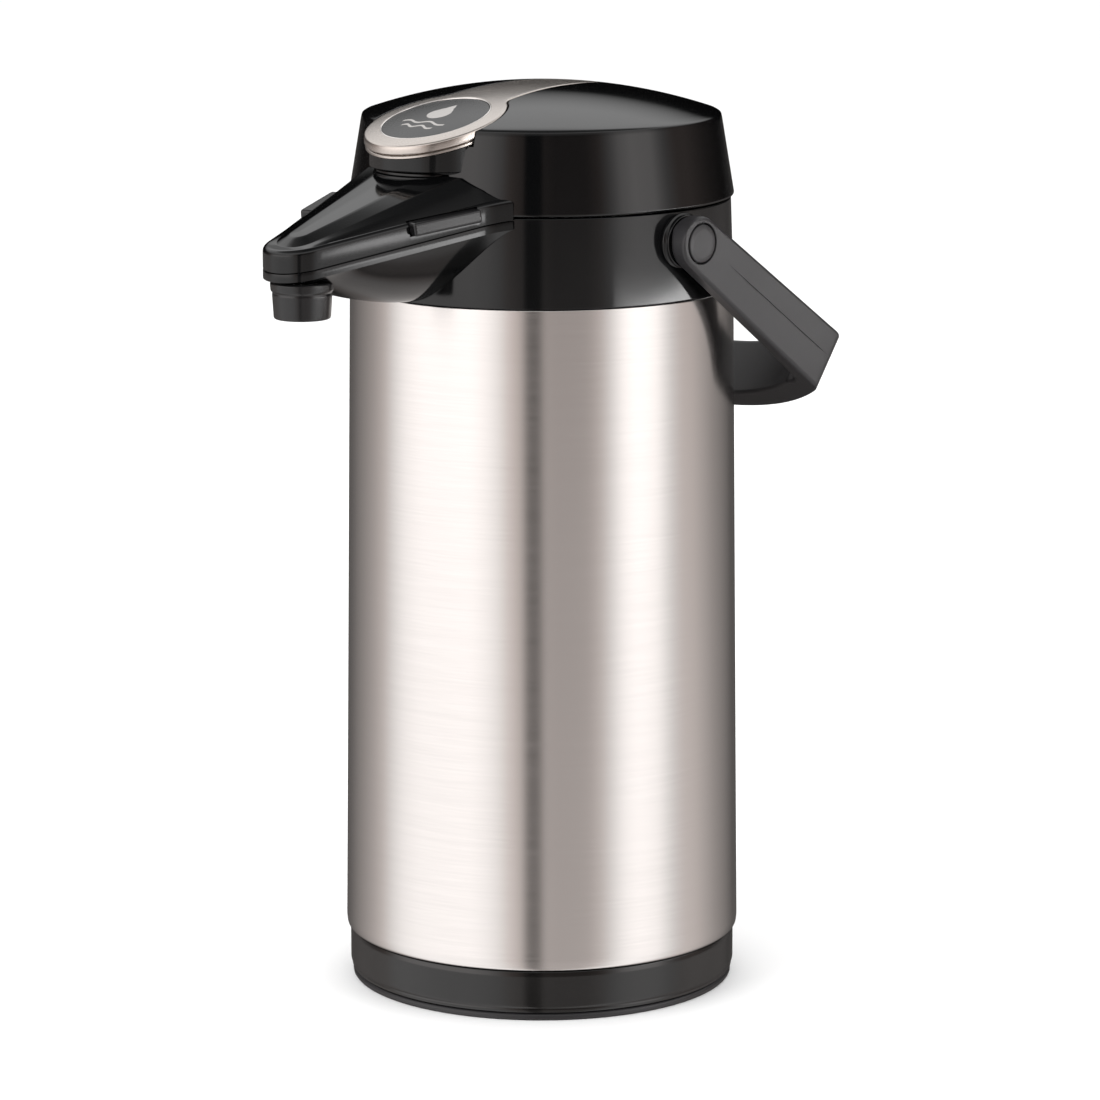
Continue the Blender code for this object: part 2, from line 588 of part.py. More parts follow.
def make_lever():
    band = dome_layer("pump_lever", 0.0, BAND_DEPTH, SILVER)
    boolean(band, column("lever_plan", lever_outline()), "INTERSECT")
    ring = dome_layer("pad_ring", 0.0005, PAD_DEPTH)
    boolean(ring, column("pad_plan", circle_outline(PAD_RADIUS - 0.0001)), "INTERSECT")
    cut(ring, rod("pad_hollow", PAD_RADIUS - 0.0030, (0, PAD_Y, 0.3300), (0, PAD_Y, 0.4000), steps=24))
    join(band, ring)
    recess = dome_layer("badge_recess", -0.0080, 0.0013)
    boolean(recess, column("badge_recess_plan", circle_outline(BADGE_RADIUS + GAP), high=0.42), "INTERSECT")
    cut(band, recess)
    y, z = LEVER_PIVOT[1:]
    lug = rod("lug", 0.0034, (-0.0060, y, z), (0.0060, y, z))
    lug_web = box("lug_web", (-0.0060, y - 0.0034, z), (0.0060, y + 0.0034, 0.3768))
    join(band, lug, lug_web)
    cut(band, rod("lug_hole", LEVER_PIN_RADIUS + GAP, (-0.02, y, z), (0.02, y, z), steps=16))
    badge = dome_layer("lever_badge", 0.0002, 0.0010, BADGE_GREY)
    boolean(badge, column("badge_plan", circle_outline(BADGE_RADIUS)), "INTERSECT")
    rod("lever_pin", LEVER_PIN_RADIUS, (-0.0140, y, z), (0.0140, y, z), PIN_STEEL, steps=16)


def make_pump():
    base = [(0.0764, 0.3370), (0.0764, 0.3345), (PLUG_RADIUS, 0.3345), (PLUG_RADIUS, 0.2990),
            (PLUG_RADIUS - 0.0010, 0.2980), (0.0030, 0.2980), (0.0030, 0.3000), (0.0160, 0.3000),
            (0.0160, 0.3370)]
    lid_base = turned("lid_base", base, SATIN_BLACK)
    gasket = [(0.0420, 0.3341), (0.0460, 0.3341), (0.0470, 0.3235), (0.0430, 0.3235)]
    turned("lid_gasket", gasket, SEAL_RUBBER)
    turned("air_valve", [(0, 0.3013), (0.0080, 0.3013), (0.0080, 0.3003), (0, 0.3003)], SEAL_RUBBER,
           ring=False, steps=SMALL_STEPS)
    for number, place in enumerate(SCREW_PLACES, 1):
        cut(lid_base, rod("base_hole", 0.0018, (*place, 0.3300), (*place, 0.3400), steps=12))
        profile = [(0, 0.3440), (0.0014, 0.3430), (0.0014, 0.3342), (0.0034, 0.3342), (0.0034, 0.3330),
                   (0.0028, 0.3320), (0, 0.3320)]
        turned(f"lid_screw_{number}", profile, PIN_STEEL, ring=False, steps=12, place=(*place, 0))

    folds = 3
    step = (BELLOWS_TOP_Z - BELLOWS_BOTTOM_Z) / (2 * folds)
    outer = [(BELLOWS_RADIUS if i % 2 else BELLOWS_RADIUS - 0.0045, BELLOWS_TOP_Z - i * step)
             for i in range(2 * folds + 1)]
    inner = [(radius - 0.0012, z) for radius, z in reversed(outer)]
    turned("bellows", outer + inner, PUMP_RUBBER, steps=INNER_STEPS)
    plate = [(0, 0.3766), (0.0034, 0.3766), (0.0060, 0.3750), (0.0060, 0.3562), (0.0370, 0.3562),
             (0.0370, 0.3540), (0, 0.3540)]
    turned("bellows_plate", plate, SATIN_BLACK, ring=False, steps=INNER_STEPS)

    turns, per_turn = 3, 10
    count = turns * per_turn
    low, high = BELLOWS_BOTTOM_Z + 0.0013, BELLOWS_TOP_Z - 0.0010
    coil = [(0.0230 * math.cos(2 * math.pi * i / per_turn), 0.0230 * math.sin(2 * math.pi * i / per_turn),
             low + (high - low) * i / count) for i in range(count + 1)]
    wire("return_spring", coil, 0.0009, PIN_STEEL, resolution=1)


# ------------------------------------------------------------------ pipes
def make_pipes(nozzle_profile):
    lower_end, upper_end = 0.0365, 0.3030
    profile = [(0.0028, upper_end), (SUCTION_RADIUS, upper_end), (SUCTION_RADIUS, lower_end),
               (0.0028, lower_end)]
    turned("suction_tube", profile, CLEAR_PIPE, steps=16, place=(0, SUCTION_Y, 0))
    profile = [(0.0028, 0.3063), (0.0050, 0.3063), (0.0050, 0.3033), (0.0028, 0.3033)]
    turned("tube_seal", profile, SEAL_RUBBER, steps=16, place=(0, SUCTION_Y, 0))
    bend = 0.0068
    start_z = 0.3080
    rise = [(SUCTION_Y, 0.3067)] + arc((SUCTION_Y - bend, start_z), bend, 0, 86, 5)
    run = [(-0.060, 0.3150), (-0.090, 0.3153), (-0.122, 0.3158)]
    fall_radius = 0.0070
    fall = arc((NOZZLE_Y + fall_radius, 0.3158 - fall_radius), fall_radius, 92, 180, 5)
    path = [(0, y, z) for y, z in rise + run + fall + [(NOZZLE_Y, 0.3073)]]
    pipe = wire("outlet_pipe", path, PIPE_RADIUS, CLEAR_PIPE, caps=False)
    solid = pipe.modifiers.new("wall", "SOLIDIFY")
    solid.thickness = 0.0010
    solid.offset = -1
    turned("nozzle", nozzle_profile, GLOSS_BLACK, steps=24, place=(0, NOZZLE_Y, 0))


# ------------------------------------------------------------------ carrying handle
def bail_plan():
    """Outer and inner half outlines of the bail in its own plane, Y along the arms."""
    corner = 0.0050
    half_chord = ARM_OUTER_X - corner
    sagitta = GRIP_REACH - CORNER_REACH
    bow = (half_chord ** 2 + sagitta ** 2) / (2 * sagitta)
    centre_y = GRIP_REACH - bow
    start = math.degrees(math.atan2(CORNER_REACH - centre_y, half_chord))
    root_y = -ARM_ROOT_RADIUS - 0.002
    outer = [(ARM_OUTER_X, root_y), (ARM_OUTER_X, CORNER_REACH - 0.0080)]
    outer += arc((ARM_OUTER_X - 0.0060, CORNER_REACH - 0.0060), 0.0055, 15, start, 4)
    outer += arc((0, centre_y), bow, start + 3, 90, 6)
    inner_bow = bow - GRIP_THICKNESS
    inner_end = 0.0700
    end_angle = math.degrees(math.acos(inner_end / inner_bow))
    inner = list(reversed(arc((0, centre_y), inner_bow, end_angle, 90, 6)))
    shoulder_y = centre_y + math.sqrt(inner_bow ** 2 - 0.0780 ** 2) - 0.0035
    inner += [(0.0780, shoulder_y), (ARM_INNER_X - 0.0006, 0.0800), (ARM_INNER_X, 0.0700),
              (ARM_INNER_X, root_y)]
    return outer, inner


def make_handle():
    outer, inner = bail_plan()
    outline = outer + [(-x, y) for x, y in reversed(outer) if x > MERGE]
    outline += [(-x, y) for x, y in reversed(inner)] + [point for point in inner if point[0] > MERGE]
    turn = Matrix.Translation((0, 0, PIVOT_Z)) @ Matrix.Rotation(HANDLE_ANGLE, 4, "X")
    bail = prism("handle", outline, 0.0400, SATIN_BLACK, turn)

    side = arc((0, 0), ARM_ROOT_RADIUS, 90, 270, 9)
    side += [(CORNER_REACH, -ARM_TIP_HALF_WIDTH), (GRIP_REACH + 0.01, -ARM_TIP_HALF_WIDTH),
             (GRIP_REACH + 0.01, ARM_TIP_HALF_WIDTH), (CORNER_REACH, ARM_TIP_HALF_WIDTH)]
    stand = Matrix(((0, 0, 1, 0), (1, 0, 0, 0), (0, 1, 0, 0), (0, 0, 0, 1)))
    flank = prism("bail_side", side, 0.4000, None, turn @ stand)
    boolean(bail, flank, "INTERSECT")
    bevel = bail.modifiers.new("edges", "BEVEL")
    bevel.width = 0.0012
    bevel.segments = 1
    bevel.limit_method = "ANGLE"
    bevel.angle_limit = math.radians(50)
    for direction in (1, -1):
        hole = rod("arm_hole", PIVOT_SHAFT_RADIUS + 0.0004, (direction * 0.075, 0, PIVOT_Z),
                   (direction * 0.095, 0, PIVOT_Z))
        sink = rod("cap_sink", CAP_RADIUS + 0.0004, (direction * (ARM_OUTER_X - 0.0026), 0, PIVOT_Z),
                   (direction * 0.095, 0, PIVOT_Z), steps=16)
        cut(bail, hole, sink)

    for name, direction in (("right", 1), ("left", -1)):
        inner_x, outer_x = direction * 0.0735, direction * (ARM_OUTER_X - 0.0028 + GAP)
        pin = rod(f"handle_pin_{name}", PIVOT_SHAFT_RADIUS, (inner_x, 0, PIVOT_Z), (outer_x, 0, PIVOT_Z),
                  SATIN_BLACK)
        cap = rod("cap", CAP_RADIUS, (direction * (ARM_OUTER_X - 0.0022), 0, PIVOT_Z),
                  (direction * (ARM_OUTER_X + 0.0004), 0, PIVOT_Z), steps=16)
        neck = rod("cap_neck", PIVOT_SHAFT_RADIUS, (direction * 0.080, 0, PIVOT_Z),
                   (direction * (ARM_OUTER_X - 0.0010), 0, PIVOT_Z))
        join(pin, neck, cap)
        washer = rod(f"pivot_washer_{name}", 0.0085, (direction * (ARM_INNER_X - 0.0009), 0, PIVOT_Z),
                     (direction * (ARM_INNER_X - GAP), 0, PIVOT_Z), PUMP_RUBBER, steps=16)
        bore = rod("washer_bore", PIVOT_SHAFT_RADIUS + GAP, (direction * 0.075, 0, PIVOT_Z),
                   (direction * 0.095, 0, PIVOT_Z))
        cut(washer, bore)


# ------------------------------------------------------------------ joint axes
def hang_on_axis(name, place, pieces):
    """An empty on a joint's axis that carries the pieces turning about it."""
    axis = bpy.data.objects.new(name, None)
    axis.location = place
    axis.empty_display_size = 0.010
    parts.objects.link(axis)
    for piece in pieces:
        child = bpy.data.objects[piece]
        child.parent = axis
        child.matrix_parent_inverse = Matrix.Translation(place).inverted()
    return axis


def make_axes():
    lid = ["lid_cover", "lid_base", "lid_gasket", "air_valve", "bellows", "bellows_plate", "return_spring",
           "lever_pin", "lid_screw_1", "lid_screw_2", "lid_screw_3", "lid_screw_4"]
    lid_axis = hang_on_axis("lid_axis", HINGE, lid)
    lever_axis = hang_on_axis("lever_axis", LEVER_PIVOT, ["pump_lever", "lever_badge"])
    lever_axis.parent = lid_axis
    lever_axis.matrix_parent_inverse = Matrix.Translation(HINGE).inverted()


# ------------------------------------------------------------------ build
make_swivel_foot()
make_bottom_cover()
make_turntable()
make_steel_shell()
make_flask()
make_collar()
make_pipes(make_spout())
make_lid_cover()
make_lever()
make_pump()
make_handle()
make_axes()
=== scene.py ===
"""Looks of the thermal coffee airpot: finished meshes, materials, floor, light and camera."""
import json
import math

import bmesh
import bpy
from mathutils import Matrix, Vector
from mathutils.geometry import delaunay_2d_cdt

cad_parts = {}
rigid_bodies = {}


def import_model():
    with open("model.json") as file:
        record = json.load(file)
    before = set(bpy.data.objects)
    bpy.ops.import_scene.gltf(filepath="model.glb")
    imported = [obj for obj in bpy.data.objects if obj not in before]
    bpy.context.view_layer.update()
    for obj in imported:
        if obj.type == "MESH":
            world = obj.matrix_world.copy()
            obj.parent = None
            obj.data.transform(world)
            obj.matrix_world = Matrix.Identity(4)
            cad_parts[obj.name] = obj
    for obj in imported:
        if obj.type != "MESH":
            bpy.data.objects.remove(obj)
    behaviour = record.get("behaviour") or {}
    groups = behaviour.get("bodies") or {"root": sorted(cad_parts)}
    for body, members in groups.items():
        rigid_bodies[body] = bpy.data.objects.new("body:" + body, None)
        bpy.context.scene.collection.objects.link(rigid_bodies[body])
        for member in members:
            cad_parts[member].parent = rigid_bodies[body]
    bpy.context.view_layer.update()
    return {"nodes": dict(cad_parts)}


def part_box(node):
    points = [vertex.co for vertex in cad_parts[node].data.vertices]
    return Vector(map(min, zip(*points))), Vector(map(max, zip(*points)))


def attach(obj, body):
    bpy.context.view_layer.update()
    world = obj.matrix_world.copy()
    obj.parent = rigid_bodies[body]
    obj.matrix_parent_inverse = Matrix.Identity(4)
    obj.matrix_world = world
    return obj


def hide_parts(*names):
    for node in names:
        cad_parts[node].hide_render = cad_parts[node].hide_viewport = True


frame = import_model()

# ------------------------------------------------------------------ sizes, in metres, in the row frame
GAP = 0.0003                    # between pieces that touch
ROUND = 192                     # sides of a large turned piece
BODY_ROUND = 256                # sides of the shell, the collar and the lid
SMALL_ROUND = 72                # sides of a small one
BADGE_ROUND = 112               # sides of the badge

SHELL_TOP_RADIUS = 0.0800
SHELL_BOTTOM_RADIUS = 0.0832
SHELL_TOP_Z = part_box("steel_shell")[1][2]
SHELL_BOTTOM_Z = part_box("steel_shell")[0][2]

COLLAR_TOP_Z = 0.3330
COLLAR_TOP_RADIUS = 0.0787
COLLAR_DECK_Z = 0.3230

LID_BOTTOM_Z = 0.3338
LID_BOTTOM_RADIUS = 0.0800
LID_RIM_Z = 0.3675
LID_RIM_RADIUS = 0.0747
TOP_Z = 0.3800
DOME_RISE = TOP_Z - LID_RIM_Z
DOME_RADIUS = (LID_RIM_RADIUS ** 2 + DOME_RISE ** 2) / (2 * DOME_RISE)

PAD_Y = -0.0625                 # centre of the lever's pad
PAD_RADIUS = 0.0291
PAD_DEPTH = 0.0058
TONGUE_DEPTH = 0.0030
BADGE_RADIUS = 0.0223
RECESS_GAP = 0.0005
NOSE_RADIUS = 0.0270
NOSE_BOTTOM_Z = 0.3505
PUMP_ROOM_RADIUS = 0.0415       # space in the lid for the bellows and its plate
PUMP_ROOM_TOP_Z = 0.3662
LEVER_PIVOT = Vector((0.0, 0.0240, 0.3700))
HINGE = Vector((0.0, 0.0820, 0.3370))
HINGE_RADIUS = 0.0042
HINGE_PIN_RADIUS = 0.0018
LEVER_PIN_RADIUS = 0.0016

NOZZLE_Y = -0.1383
NOZZLE_BOTTOM_Z = 0.2962
SPOUT_TIP_RADIUS = 0.0155
SPOUT_TAPER = math.radians(20.4)
SEAM_ROOT_Z = 0.3330
SEAM_SLOPE = 0.1897
ROOF_TIP_Z = 0.3280
ROOF_SLOPE = 0.327
FLANK_HEIGHT = 0.0088
BODY_CUT_RADIUS = 0.0804
SPOUT_ROOT_Y = -0.0600
FLARE_WIDTH = 0.0045            # how far each flank widens over the flare's length
FLARE_START_Y = -0.0760
FLARE_LENGTH = 0.0130
HULL_WALL = 0.0034              # upright wall of the hull under its seam
HULL_BELLY = 1.85               # power of the hull's section: 2 is a parabola
KEEL_POWER = 1.6                # of the keel's rise towards the tip

CATCH_SIZE = (0.0078, 0.0300, 0.0054)
CATCH_GAP = 0.0004
CATCH_ROOM = 0.0018             # space behind a catch for its travel
CATCH_PROUD = 0.0036
CATCH_CENTRE = (0.0345, -0.0925, 0.3333)

PIVOT_Z = 0.3207
ARM_INNER_X = 0.0820
ARM_OUTER_X = 0.0896
ARM_ROOT_RADIUS = 0.0110
ARM_TIP_HALF_WIDTH = 0.0132
CORNER_REACH = 0.1035
GRIP_REACH = 0.1324
GRIP_THICKNESS = 0.0120
CREASE_WIDTH = 0.0005
CREASE_DEPTH = 0.035            # share of the bail's thickness
HANDLE_ANGLE = math.radians(-35.5)
CAP_RADIUS = 0.0078
BOSS_RADIUS = 0.0108
SHAFT_INNER_X = 0.0735          # inner end of the handle's pivot shafts
BOSS_INNER_X = 0.0740
WASHER_INNER_X = 0.0810

SUCTION_Y = -0.0294
PIPE_RADIUS = 0.0045
SCREW_PLACES = ((0.052, 0.030), (-0.052, 0.030), (0.055, -0.020), (-0.055, -0.020))


# ------------------------------------------------------------------ materials
class Nodes:
    """A material's or world's node tree with short calls for what the finishes share."""

    def __init__(self, owner):
        owner.use_nodes = True
        self.tree = owner.node_tree
        self.place = None

    def add(self, kind, **values):
        node = self.tree.nodes.new(kind)
        for key, value in values.items():
            setattr(node, key, value)
        return node

    def link(self, source, target):
        self.tree.links.new(source, target)

    def coordinates(self, stretch=(1, 1, 1)):
        """The piece's own coordinates in metres, stretched."""
        if self.place is None:
            self.place = self.add("ShaderNodeTexCoord")
        mapping = self.add("ShaderNodeMapping")
        mapping.inputs["Scale"].default_value = stretch
        self.link(self.place.outputs["Object"], mapping.inputs["Vector"])
        return mapping.outputs["Vector"]

    def noise(self, scale, detail=2.0, roughness=0.5, stretch=(1, 1, 1)):
        node = self.add("ShaderNodeTexNoise")
        node.inputs["Scale"].default_value = scale
        node.inputs["Detail"].default_value = detail
        node.inputs["Roughness"].default_value = roughness
        self.link(self.coordinates(stretch), node.inputs["Vector"])
        return node.outputs["Fac"]

    def remap(self, value, low, high, from_low=0.0, from_high=1.0):
        node = self.add("ShaderNodeMapRange")
        node.inputs["From Min"].default_value = from_low
        node.inputs["From Max"].default_value = from_high
        node.inputs["To Min"].default_value = low
        node.inputs["To Max"].default_value = high
        self.link(value, node.inputs["Value"])
        return node.outputs["Result"]

    def ramp(self, value, stops):
        node = self.add("ShaderNodeValToRGB")
        elements = node.color_ramp.elements
        elements[0].position, elements[1].position = stops[0][0], stops[-1][0]
        for position, _ in stops[1:-1]:
            elements.new(position)
        for element, (_, colour) in zip(elements, stops):
            element.color = (*colour, 1.0)
        self.link(value, node.inputs["Fac"])
        return node.outputs["Color"]

    def grey_ramp(self, value, stops):
        return self.ramp(value, [(position, (grey,) * 3) for position, grey in stops])

    def mix(self, blend, first, second, factor=1.0):
        """Mixes two colours. The factor is a number or a socket."""
        node = self.add("ShaderNodeMix", data_type="RGBA", blend_type=blend)
        if isinstance(factor, float):
            node.inputs["Factor"].default_value = factor
        else:
            self.link(factor, node.inputs["Factor"])
        self.link(first, node.inputs["A"])
        self.link(second, node.inputs["B"])
        return node.outputs["Result"]

    def bump(self, height, strength, distance):
        node = self.add("ShaderNodeBump")
        node.inputs["Strength"].default_value = strength
        node.inputs["Distance"].default_value = distance
        self.link(height, node.inputs["Height"])
        return node.outputs["Normal"]

    def sum(self, first, second, operation="ADD"):
        node = self.add("ShaderNodeMath", operation=operation)
        for socket, value in zip(node.inputs, (first, second)):
            if isinstance(value, (int, float)):
                socket.default_value = value
            else:
                self.link(value, socket)
        return node.outputs["Value"]


def finish(name, colour, shade, roughness, grain, metallic=0.0, ior=1.5, coat=0.0, height=(0.1, 0.0001)):
    """A Principled finish whose colour drifts between two tones, with a fine grain in gloss and surface."""
    made = bpy.data.materials.new(name)
    nodes = Nodes(made)
    shader = nodes.tree.nodes["Principled BSDF"]
    fine = nodes.noise(grain, 3.0, 0.6)
    drift = nodes.noise(30.0, 2.0)
    mixed = nodes.sum(nodes.sum(fine, 0.35, "MULTIPLY"), nodes.sum(drift, 0.65, "MULTIPLY"))
    tones = nodes.ramp(mixed, [(0.30, shade), (0.70, colour)])
    nodes.link(tones, shader.inputs["Base Color"])
    nodes.link(nodes.remap(mixed, *roughness, 0.3, 0.7), shader.inputs["Roughness"])
    nodes.link(nodes.bump(fine, *height), shader.inputs["Normal"])
    shader.inputs["Metallic"].default_value = metallic
    shader.inputs["IOR"].default_value = ior
    shader.inputs["Coat Weight"].default_value = coat
    shader.inputs["Coat Roughness"].default_value = 0.06
    return made


def brushed(name, colour, shade, roughness, grain=(30, 30, 1500)):
    """Metal brushed round the vertical axis: reflections smear along Z."""
    made = bpy.data.materials.new(name)
    nodes = Nodes(made)
    shader = nodes.tree.nodes["Principled BSDF"]
    lines = nodes.noise(1.0, 4.0, 0.65, grain)
    broad = nodes.noise(1.0, 2.0, 0.5, (grain[0] * 0.4, grain[1] * 0.4, grain[2] * 0.16))
    drift = nodes.noise(9.0, 2.0)
    brush = nodes.sum(nodes.sum(lines, 0.7, "MULTIPLY"), nodes.sum(broad, 0.3, "MULTIPLY"))
    tone = nodes.sum(nodes.sum(brush, 0.75, "MULTIPLY"), nodes.sum(drift, 0.25, "MULTIPLY"))
    nodes.link(nodes.ramp(tone, [(0.34, shade), (0.66, colour)]), shader.inputs["Base Color"])
    nodes.link(nodes.remap(brush, *roughness, 0.3, 0.7), shader.inputs["Roughness"])
    nodes.link(nodes.bump(brush, 0.04, 0.00003), shader.inputs["Normal"])
    tangent = nodes.add("ShaderNodeTangent", direction_type="RADIAL", axis="Z")
    nodes.link(tangent.outputs["Tangent"], shader.inputs["Tangent"])
    shader.inputs["Metallic"].default_value = 1.0
    shader.inputs["Anisotropic"].default_value = 0.75
    shader.inputs["Anisotropic Rotation"].default_value = 0.25
    return made


LOOKS = {
    "steel": brushed("brushed_body_steel", (0.645, 0.620, 0.605), (0.605, 0.580, 0.565), (0.20, 0.26)),
    "gloss": finish("glossy_black_plastic", (0.0030, 0.0031, 0.0033), (0.0018, 0.0019, 0.0021), (0.07, 0.11),
                    900.0, ior=1.40, height=(0.02, 0.00002)),
    "satin": finish("satin_black_plastic", (0.0215, 0.0205, 0.0220), (0.0150, 0.0143, 0.0155), (0.36, 0.46),
                    2600.0, ior=1.42, height=(0.22, 0.00005)),
    "soft": finish("smooth_black_plastic", (0.0075, 0.0072, 0.0078), (0.0050, 0.0048, 0.0052), (0.20, 0.27),
                   1600.0, ior=1.46, height=(0.06, 0.00003)),
    "base": finish("base_black_plastic", (0.0075, 0.0070, 0.0068), (0.0045, 0.0043, 0.0041), (0.10, 0.16),
                   1200.0, ior=1.47, height=(0.05, 0.00003)),
    "silver": finish("satin_silver_lacquer", (0.50, 0.455, 0.42), (0.42, 0.38, 0.35), (0.22, 0.30), 2400.0,
                     metallic=0.95, coat=0.15, height=(0.08, 0.00003)),
    "chrome": finish("polished_edge", (0.80, 0.77, 0.75), (0.70, 0.67, 0.65), (0.08, 0.14), 1500.0,
                     metallic=1.0, height=(0.02, 0.00002)),
    "badge": finish("badge_face", (0.0160, 0.0162, 0.0165), (0.0105, 0.0107, 0.0110), (0.24, 0.32), 1800.0,
                    ior=1.42, height=(0.05, 0.00003)),
    "print": finish("badge_print", (0.42, 0.40, 0.385), (0.34, 0.325, 0.31), (0.35, 0.45), 1800.0,
                    height=(0.03, 0.00002)),
    "flask": brushed("flask_steel", (0.70, 0.69, 0.68), (0.58, 0.57, 0.56), (0.14, 0.22), (20, 20, 900)),
    "pin": finish("pin_steel", (0.62, 0.61, 0.60), (0.50, 0.49, 0.48), (0.18, 0.28), 1400.0, metallic=1.0),
    "seal": finish("silicone_seal", (0.34, 0.34, 0.33), (0.27, 0.27, 0.26), (0.50, 0.62), 1500.0, ior=1.42),
    "rubber": finish("black_rubber", (0.040, 0.039, 0.038), (0.026, 0.025, 0.025), (0.58, 0.70), 1800.0,
                     ior=1.45),
    "pipe": finish("milky_pipe_plastic", (0.74, 0.73, 0.69), (0.64, 0.63, 0.60), (0.30, 0.40), 800.0),
}


# ------------------------------------------------------------------ mesh tools
def placed(name, data):
    """A new object in the scene."""
    made = bpy.data.objects.new(name, data)
    bpy.context.scene.collection.objects.link(made)
    return made


def mesh_of(name, bm):
    """A mesh from the one under work, which is freed."""
    mesh = bpy.data.meshes.new(name)
    bm.to_mesh(mesh)
    bm.free()
    return mesh


def outward(bm):
    bmesh.ops.recalc_face_normals(bm, faces=bm.faces)
    return bm


def skin(bm, rings):
    """Faces from each ring of vertices to the next."""
    for first, second in zip(rings, rings[1:]):
        for i in range(len(first)):
            j = (i + 1) % len(first)
            bm.faces.new((first[i], first[j], second[j], second[i]))


def rounded(points, closed=True):
    """A profile whose corners are eased. A point is (r, z) or (r, z, reach of the easing)."""
    segments = 4
    made = []
    for i, point in enumerate(points):
        corner = Vector(point[:2])
        ends = not closed and i in (0, len(points) - 1)
        if len(point) < 3 or ends:
            made.append((corner.x, corner.y))
            continue
        back = Vector(points[i - 1][:2]) - corner
        ahead = Vector(points[(i + 1) % len(points)][:2]) - corner
        start = corner + back.normalized() * min(point[2], 0.49 * back.length)
        end = corner + ahead.normalized() * min(point[2], 0.49 * ahead.length)
        for k in range(segments + 1):
            t = k / segments
            spot = start * (1 - t) ** 2 + corner * 2 * t * (1 - t) + end * t ** 2
            made.append((spot.x, spot.y))
    return made


def turned_mesh(profile, steps=ROUND, closed=True, matrix=Matrix()):
    """Turns a profile about Z. Points on the axis become one vertex."""
    bm = bmesh.new()
    poles = {i: bm.verts.new((0, 0, z)) for i, (r, z) in enumerate(profile) if r < 1e-7}
    columns = []
    for k in range(steps):
        angle = 2 * math.pi * k / steps
        columns.append([poles.get(i) or bm.verts.new((r * math.cos(angle), r * math.sin(angle), z))
                        for i, (r, z) in enumerate(profile)])
    spans = range(len(profile) if closed else len(profile) - 1)
    for k in range(steps):
        here, there = columns[k], columns[(k + 1) % steps]
        for i in spans:
            j = (i + 1) % len(profile)
            corners = []
            for vertex in (here[i], here[j], there[j], there[i]):
                if vertex not in corners:
                    corners.append(vertex)
            if len(corners) > 2:
                bm.faces.new(corners)
    outward(bm)
    bm.transform(matrix)
    return bm


def round_solid(points, steps, matrix=Matrix()):
    return turned_mesh(rounded(points, False), steps, False, matrix)


def cuts(*tools):
    return [("DIFFERENCE", tool) for tool in tools]


def carved(bm, steps):
    """The mesh after a list of (operation, tool mesh)."""
    work = placed("work", mesh_of("work", bm))
    tools = []
    for operation, tool in steps:
        tools.append(placed("work", mesh_of("work", tool)))
        change = work.modifiers.new("carve", "BOOLEAN")
        change.operation = operation
        change.object = tools[-1]
        change.solver = "EXACT"
    bpy.context.view_layer.update()
    evaluated = work.evaluated_get(bpy.context.evaluated_depsgraph_get())
    result = bmesh.new()
    result.from_mesh(evaluated.to_mesh())
    evaluated.to_mesh_clear()
    for leftover in (work, *tools):
        bpy.data.objects.remove(leftover)
    bmesh.ops.remove_doubles(result, verts=result.verts, dist=0.000004)
    return result


def piece(name, bm, look, body, replaced=(), sharp=32.0, bevel=0.0):
    """A finished piece: shading, sharp edges by angle, its material, its body and what it stands for."""
    mesh = mesh_of(name, bm)
    mesh.polygons.foreach_set("use_smooth", [True] * len(mesh.polygons))
    mesh.set_sharp_from_angle(angle=math.radians(sharp))
    mesh.materials.append(LOOKS[look])
    made = placed(name, mesh)
    if bevel:
        edge = made.modifiers.new("edges", "BEVEL")
        edge.width = bevel
        edge.segments = 3
        edge.limit_method = "ANGLE"
        edge.angle_limit = math.radians(sharp)
    normals = made.modifiers.new("normals", "WEIGHTED_NORMAL")
    normals.keep_sharp = True
    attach(made, body)
    if replaced:
        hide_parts(*replaced)


def turned(name, points, look, body, replaced=(), steps=ROUND, closed=True, matrix=Matrix()):
    piece(name, turned_mesh(rounded(points, closed), steps, closed, matrix), look, body, replaced)


def box_mesh(low, high):
    bm = bmesh.new()
    bmesh.ops.create_cube(bm, size=1.0)
    bmesh.ops.scale(bm, vec=[b - a for a, b in zip(low, high)], verts=bm.verts)
    bmesh.ops.translate(bm, vec=[(a + b) / 2 for a, b in zip(low, high)], verts=bm.verts)
    return bm


def along(axis, place):
    """Turns the Z axis onto an axis and moves the origin to a place."""
    turn = Vector((0, 0, 1)).rotation_difference(Vector(axis)).to_matrix().to_4x4()
    return Matrix.Translation(place) @ turn


def rod_mesh(radius, start, end, steps=SMALL_ROUND, ease=0.0):
    run = Vector(end) - Vector(start)
    length = run.length
    profile = [(0, 0), (radius, 0), (radius, length), (0, length)]
    if ease:
        profile = rounded([(0, 0), (radius, 0, ease), (radius, length, ease), (0, length)], False)
    return turned_mesh(profile, steps, False, along(run.normalized(), start))


def dome_z(radius, depth=0.0):
    return TOP_Z - DOME_RADIUS + math.sqrt((DOME_RADIUS - depth) ** 2 - radius ** 2)


def arc(centre, radius, start, end, count):
    angles = [math.radians(start + (end - start) * i / (count - 1)) for i in range(count)]
    return [Vector((centre[0] + radius * math.cos(a), centre[1] + radius * math.sin(a))) for a in angles]


def smooth_line(points, per_span=6):
    """A Catmull-Rom curve through points, its ends included."""
    line = []
    for i in range(len(points) - 1):
        before = points[max(i - 1, 0)]
        start, end = points[i], points[i + 1]
        after = points[min(i + 2, len(points) - 1)]
        for k in range(per_span):
            t = k / per_span
            line.append(0.5 * (2 * start + (end - before) * t
                               + (2 * before - 5 * start + 4 * end - after) * t * t
                               + (3 * start - before - 3 * end + after) * t ** 3))
    line.append(points[-1])
    return line


